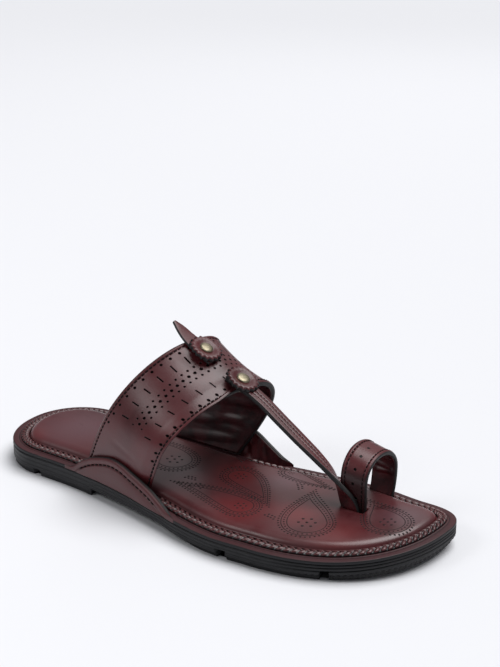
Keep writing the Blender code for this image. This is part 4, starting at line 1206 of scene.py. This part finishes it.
# Thong and pointed tab: centre of the strip, its width and how far it has turned on edge
THONG = (
    (-8.0, 151.5, 74.9, 10.0, 0.00), (-8.0, 160.0, 71.6, 10.0, 0.00), (-8.0, 167.3, 68.6, 9.5, 0.00),
    (-8.0, 173.5, 65.3, 9.2, 0.00), (-8.0, 186.8, 56.5, 9.0, 0.00), (-8.0, 199.8, 47.9, 9.0, 0.02),
    (-7.9, 211.0, 40.6, 9.0, 0.10), (-7.6, 219.5, 34.3, 9.2, 0.26), (-7.3, 226.4, 27.0, 10.4, 0.58),
    (-7.0, 231.6, 20.0, 10.6, 0.90), (-6.9, 233.9, 16.0, 9.4, 1.00), (-6.9, 234.6, 13.5, 8.8, 1.00),
)
TAIL = (
    (-7.0, 141.0, 82.3, 11.0, 0.00), (-7.0, 134.5, 85.9, 11.5, 0.00), (-6.8, 127.5, 89.8, 11.0, 0.00),
    (-6.5, 122.0, 93.4, 9.0, 0.00), (-6.2, 117.3, 97.3, 6.0, 0.00), (-6.0, 113.0, 100.6, 1.4, 0.00),
)
THONG_THICK, TAIL_THICK = 2.6, 1.6
THONG_GROOVES, THONG_CROWN, GROOVE_PRESS, GROOVE_WIDE = (-0.3, 0.3), 0.12, 0.3, 0.13
# Share of a strip's half width that is flat, and how far its cut edges stand out beyond
STRIP_FLAT, STRIP_BULGE = 0.93, 0.45


def ribbon(table, steps):
    """The strip's centre line and, at each step, its unit vectors across and out of its face. Turn 0 lies
    flat and turn 1 stands on edge with the outer edge up."""
    table = np.asarray(table)
    places = run_along(table[:, :3])
    wanted = np.linspace(0, places[-1], steps)
    x, y, z, width, turn = (through(places, column, wanted) for column in table.T)
    centre = np.stack([x, y, z], 1)
    ahead = unit(np.gradient(centre, axis=0))
    right = np.tile((1.0, 0.0, 0.0), (steps, 1))
    up = unit(np.cross(right, ahead))
    up *= np.sign(up[:, 2:])
    angle = (turn * np.pi / 2)[:, None]
    across = right * np.cos(angle) + up * np.sin(angle)
    face = up * np.cos(angle) - right * np.sin(angle)
    return centre, across, face, width, wanted


def make_ribbon(name, node, table, steps, thick, grooves=()):
    """A strip of rounded section: the outer face is a low crown with pressed lines at the given shares of
    the half width, the cut edges are half round."""
    centre, across, face, width, along = ribbon(table, steps)
    u = np.linspace(-1, 1, 33)
    back_u = -u[::3]
    crown = THONG_CROWN * (1 - u**2)
    for groove in grooves:
        crown = crown - GROOVE_PRESS * hump(u, groove, GROOVE_WIDE)
    counts = (len(u), len(EDGE_TURN), len(back_u), len(EDGE_TURN))
    edge = np.ones(len(EDGE_TURN))
    flat = STRIP_FLAT * np.concatenate([u, edge, back_u, -edge])
    side = STRIP_BULGE * np.repeat((0, 1, 0, -1), counts)
    side[side != 0] *= np.tile(np.sin(EDGE_TURN), 2)
    high = np.concatenate([0.5 * thick + crown, 0.5 * thick * np.cos(EDGE_TURN), -0.5 * thick + 0 * back_u,
                           -0.5 * thick * np.cos(EDGE_TURN)])
    rings = centre[:, None] + across[:, None] * (width[:, None] / 2 * flat[None] + side[None])[..., None]
    rings = rings + face[:, None] * high[None, :, None]
    shape = rings.shape[:2]
    paint, back = np.repeat((0, 1, 0, 1), counts), np.repeat((0, 0, 1, 0), counts)
    notes = {"place": spread(shape, along[:, None], 0.0, 0.0), "side": spread(shape, paint, 0.0, back)}
    mesh = tube(name, rings, notes, flip=table[0][1] > table[-1][1])
    piece(name, mesh, STRAP, (node,))


def make_thong():
    """The thong with its two pressed lines, and a row of stitches in each."""
    make_ribbon("thong", "upper", THONG, 200, THONG_THICK, THONG_GROOVES)
    centre, across, face, width, _ = ribbon(THONG, 200)
    for name, share in zip(("thong_stitches_a", "thong_stitches_b"), THONG_GROOVES):
        line = centre + across * (width[:, None] / 2 * share) + face * (THONG_THICK / 2 - 0.12)
        stitches(name, line, face, *THONG_STITCH)


# A flap's outer face below its crest, the roll, the pressed stitch line and a low swell: rise, how far down
# and half width
FLAP_SEAM = 4.6
FLAP_FORMS = ((0.30, 2.3, 2.2), (-0.5, FLAP_SEAM, 0.8), (0.35, 9.5, 5.5))
FOLD_HALF = 3.2


def make_flap(name, node, side, table, flare, wrinkles):
    """A flap that stands on the sole's edge: a wall that leans with a power of its height, a rolled crest,
    a pressed stitch line under the roll, and soft folds on its inner face where it has wrinkles."""
    table = np.asarray(table)
    steps = 260
    y = np.linspace(table[0, 0], table[-1, 0], steps) * LENGTH
    crest = through(table[:, 0] * LENGTH, table[:, 1], y)
    lean = through(table[:, 0] * LENGTH, table[:, 2], y)
    foot = outsole_top(y) + GAP
    crest = np.maximum(crest, rim_top(y) + 0.15)
    high = (crest - foot)[:, None]
    thick = np.maximum(FLAP_THICK * flap_share(y, table), 0.15)[:, None]
    edge = np.stack([side_x(y, side), y], 1)
    ahead = unit(np.gradient(edge, axis=0))
    out = side * np.stack([ahead[:, 1], -ahead[:, 0]], 1)
    up = np.linspace(0, 1, 30)[None]
    turn = EDGE_TURN[None]
    body = np.clip(high - thick / 2, 0.2, None)
    below = high - up * body
    grown = np.clip(high / 8, 0, 1)
    roll = sum(rise * hump(below, place, half) for rise, place, half in FLAP_FORMS)
    outer_h, outer_s = up * body, roll * grown
    top_h = body + np.sin(turn) * np.minimum(thick / 2, high * 0.4)
    top_s = -(1 - np.cos(turn)) * thick / 2
    down = np.linspace(1, 0, 26)[None]
    inner_h = down * body
    swell = np.sin(np.pi * down) ** 0.5
    fold = 0.0
    for place, slant, deep in wrinkles:
        fold = fold + deep * swell * hump(y[:, None] + slant * inner_h, place, FOLD_HALF)
    inner_s = -thick + fold * grown
    heights = np.concatenate([outer_h, top_h, inner_h], 1)
    shift = np.concatenate([outer_s, top_s, inner_s], 1)
    shift = shift + lean[:, None] * (heights / high).clip(0, 1) ** flare
    plan = edge[:, None] + out[:, None] * shift[..., None]
    rings = np.concatenate([plan, (foot[:, None] + heights)[..., None]], -1)
    shape = rings.shape[:2]
    paint = [0 * outer_h, ease(turn, 0.5, 1.0) + 0 * high, ease(inner_h, body - 1.6, body - 0.8)]
    back = [0 * outer_h, 0 * top_h, 1 + 0 * inner_h]
    notes = {"place": spread(shape, y[:, None], heights, 0.0),
             "side": spread(shape, np.concatenate(paint, 1), 0.0, np.concatenate(back, 1))}
    mesh = tube(name, rings, notes, flip=side > 0)
    piece(name, mesh, STRAP, (node,))
    line_h = np.clip(high[:, 0] - FLAP_SEAM, 0.4, None)
    keep = high[:, 0] > 6.0
    shift = lean * (line_h / high[:, 0]) ** flare - 0.1
    plan = edge + out * shift[:, None]
    line = np.column_stack([plan, foot + line_h])[keep]
    normal = np.column_stack([out, np.zeros(steps)])[keep]
    stitches(name + "_stitches", line, normal, *FLAP_STITCH)


# Rosettes and rivets stand on the slope of the band's top
SLOPE = np.radians(28.0)
SLOPE_OUT = np.array([0.0, np.sin(SLOPE), np.cos(SLOPE)])
SLOPE_UP = np.array([0.0, -np.cos(SLOPE), np.sin(SLOPE)])
SLOPE_SIDE = np.array([1.0, 0.0, 0.0])
RIVETS = {"front": (-8.0, 159.5, 74.1), "rear": (-7.0, 134.5, 87.2)}
ROSETTE_RADIUS, ROSETTE_THICK, TEETH, TOOTH_DEEP = 10.1, 1.6, 18, 0.15
# A rosette's face: shares of its radius from the hole to the rim, and how high the face stands there
ROSETTE_SHARES, ROSETTE_FACE = (0.19, 0.4, 0.68, 0.9, 1.0), (0.1, 0.1, 0.95, 0.7, 0.0)
RIVET_RADIUS, RIVET_DOME = 4.0, 1.7


def on_slope(seat, radius, angle, height):
    """Places given by radius, angle and height over a seat on the band's slope."""
    flat = SLOPE_SIDE * (radius * np.cos(angle))[..., None] + SLOPE_UP * (radius * np.sin(angle))[..., None]
    return seat + flat + SLOPE_OUT * np.broadcast_to(height, np.shape(radius))[..., None]


def make_rosette(which, twist):
    """A pinked disc: its rim swings as a triangle wave between full radius and a share of it, once for each
    tooth, and its face dips under the rivet, crowns at two thirds and falls again to the rim. It buckles as
    three waves round."""
    seat = np.array(RIVETS[which]) + SLOPE_OUT * GAP
    angle = np.linspace(0, 2 * np.pi, TEETH * 12, endpoint=False)[None]
    wave = 2 / np.pi * np.arcsin(0.998 * np.cos(angle * TEETH + twist))
    trough = 0.5 - 0.5 * wave
    share = np.linspace(ROSETTE_SHARES[0], 1.0, 30)[:, None]
    radius = ROSETTE_RADIUS * share * (1 - TOOTH_DEEP * trough * share**4)
    face = through(ROSETTE_SHARES, ROSETTE_FACE, share)
    crease = -0.12 * trough**2 * ease(share, 0.75, 0.95)
    buckle = 0.25 * np.sin(angle * 3 + twist) * ease(share, 0.5, 1.0)
    upper = on_slope(seat, radius, angle + 0 * radius, ROSETTE_THICK + face + crease + buckle)
    turn = np.linspace(0, np.pi, 7)[1:-1][:, None]
    rim_radius = radius[-1:] + 0.15 * np.sin(turn)
    rim_high = (ROSETTE_THICK / 2) * (1 + np.cos(turn)) + crease[-1:] + buckle[-1:]
    rim = on_slope(seat, rim_radius, angle + 0 * rim_radius, rim_high)
    lower = on_slope(seat, radius[::-2], angle + 0 * radius[::-2], (face * 0.9)[::-2] + buckle[::-2])
    rings = np.concatenate([upper, rim, lower])
    rows, count = rings.shape[:2]
    c = np.arange(count)
    d = (c + 1) % count
    last = (rows - 1) * count
    quads = np.concatenate([grid_faces(rows, count), np.stack([last + c, last + d, d, c], 1)])
    # Edge paint on the teeth's edges and the rim; the black over the whole underside is painted shade of the
    # gap between disc and band
    paint = np.concatenate([ease(share, 0.93, 0.99) + 0 * wave, 1 + 0 * rim_radius, 1 + 0 * radius[::-2]])
    notes = spread(paint.size, paint.ravel(), 0.0, 0.0)
    mesh = fill_mesh(f"pinked_{which}", rings.reshape(-1, 3), quads, (), {"side": notes, "place": notes * 0})
    piece(f"pinked_{which}", mesh, STRAP, (f"rosette_{which}",))


# Under a rivet's dome: radius and height of its rim's foot, its shank and its clench plate
RIVET_SEAT = ROSETTE_THICK - 0.3
RIVET_BELOW = ((RIVET_RADIUS, RIVET_SEAT + 0.2), (3.6, RIVET_SEAT), (1.5, RIVET_SEAT), (1.5, -6.6),
               (2.0, -6.6), (2.0, -7.0), (0.1, -7.1))


def make_rivet(which):
    """A turned dome, near a quarter ellipse over a short upright rim, with its shank and clench plate."""
    seat = np.array(RIVETS[which])
    a = np.linspace(np.pi / 2, 0, 14)
    below_radius, below_height = zip(*RIVET_BELOW)
    radius = np.concatenate([np.maximum(RIVET_RADIUS * np.cos(a), 0.02), below_radius])
    height = np.concatenate([RIVET_SEAT + 0.5 + RIVET_DOME * np.sin(a) ** 0.6, below_height])
    angle = np.linspace(0, 2 * np.pi, 48, endpoint=False)[None]
    radius, height, angle = np.broadcast_arrays(radius[:, None], height[:, None], angle)
    rings = on_slope(seat, radius, angle, height)
    mesh = tube(f"dome_{which}", rings)
    piece(f"dome_{which}", mesh, BRASS, (f"rivet_{which}",))


make_outsole()
make_rim()
make_braid("braid_strip_front", "braid_front", True)
make_braid("braid_strip_rear", "braid_rear", False)
make_insole()
make_print()
make_band()
make_toe_ring()
make_thong()
make_flap("guard_lateral", "side_flap_lateral", 1, FLAP_LATERAL, 1.4, FOLDS_LATERAL)
make_flap("guard_medial", "side_flap_medial", -1, FLAP_MEDIAL, 0.8, FOLDS_MEDIAL)
make_ribbon("pointed_tab", "tail", TAIL, 90, TAIL_THICK)
for which, twist in (("front", 0.4), ("rear", 1.3)):
    make_rosette(which, twist)
    make_rivet(which)

# Floor, light and camera
FLOOR_HALF = 6000.0
floor_mesh = bpy.data.meshes.new("floor")
corners = FLOOR_HALF * MM * np.array([(-1, -1, 0), (1, -1, 0), (1, 1, 0), (-1, 1, 0)])
floor_mesh.from_pydata(corners.tolist(), [], [(0, 1, 2, 3)])
floor_look = Look("pale_floor")
floor_look.set(Base_Color=(0.78, 0.785, 0.815), Roughness=0.8)
floor = bpy.data.objects.new("floor", floor_mesh)
floor_mesh.materials.append(floor_look.material)
bpy.context.scene.collection.objects.link(floor)

world = bpy.data.worlds.new("studio")
bpy.context.scene.world = world
world.use_nodes = True
background = world.node_tree.nodes["Background"]
background.inputs["Color"].default_value = (0.96, 0.97, 1.0, 1.0)
background.inputs["Strength"].default_value = 0.2


def area_light(name, place, aim, size, power):
    """A square softbox at place that faces aim."""
    light = bpy.data.lights.new(name, "AREA")
    light.size = size
    light.energy = power
    obj = bpy.data.objects.new(name, light)
    obj.location = Vector(place)
    obj.rotation_euler = (Vector(place) - Vector(aim)).to_track_quat("Z", "Y").to_euler()
    bpy.context.scene.collection.objects.link(obj)


def wide_sun(name, toward, spread, power):
    """Even light from one side of the sky, spread over so many degrees."""
    light = bpy.data.lights.new(name, "SUN")
    light.angle = np.radians(spread)
    light.energy = power
    obj = bpy.data.objects.new(name, light)
    obj.rotation_euler = Vector(toward).to_track_quat("Z", "Y").to_euler()
    bpy.context.scene.collection.objects.link(obj)


wide_sun("tent_top", (-0.3, 0.25, 1.0), 50.0, 3.05)
area_light("softbox_side", (0.9, -0.6, 1.0), (0, 0, 0.03), 0.5, 3.2)
area_light("softbox_back", (-1.3, -0.5, 0.9), (0, 0.03, 0.02), 0.9, 1.2)

# Camera: where it stands and which way it faces were worked out from the sandal's own proportions
CAMERA_AZIMUTH, CAMERA_ELEVATION, CAMERA_ROLL = 125.936, 20.537, -0.332
CAMERA_AT = (579.23, 590.95, 375.53)
CAMERA_LENS = 75.562
azimuth, elevation, roll = np.radians((CAMERA_AZIMUTH, CAMERA_ELEVATION, CAMERA_ROLL))
back = Vector((np.sin(azimuth) * np.cos(elevation), -np.cos(azimuth) * np.cos(elevation), np.sin(elevation)))
right = Vector((np.cos(azimuth), np.sin(azimuth), 0.0))
up = back.cross(right)
right, up = right * np.cos(roll) + up * np.sin(roll), up * np.cos(roll) - right * np.sin(roll)
lens = bpy.data.cameras.new("camera")
lens.lens = CAMERA_LENS
lens.sensor_width = 36.0
camera = bpy.data.objects.new("camera", lens)
turned = Matrix((right, up, back)).transposed().to_4x4()
camera.matrix_world = Matrix.Translation(Vector(row(CAMERA_AT))) @ turned
bpy.context.scene.collection.objects.link(camera)
bpy.context.scene.camera = camera
bpy.context.scene.view_settings.view_transform = "Standard"

bpy.context.view_layer.update()
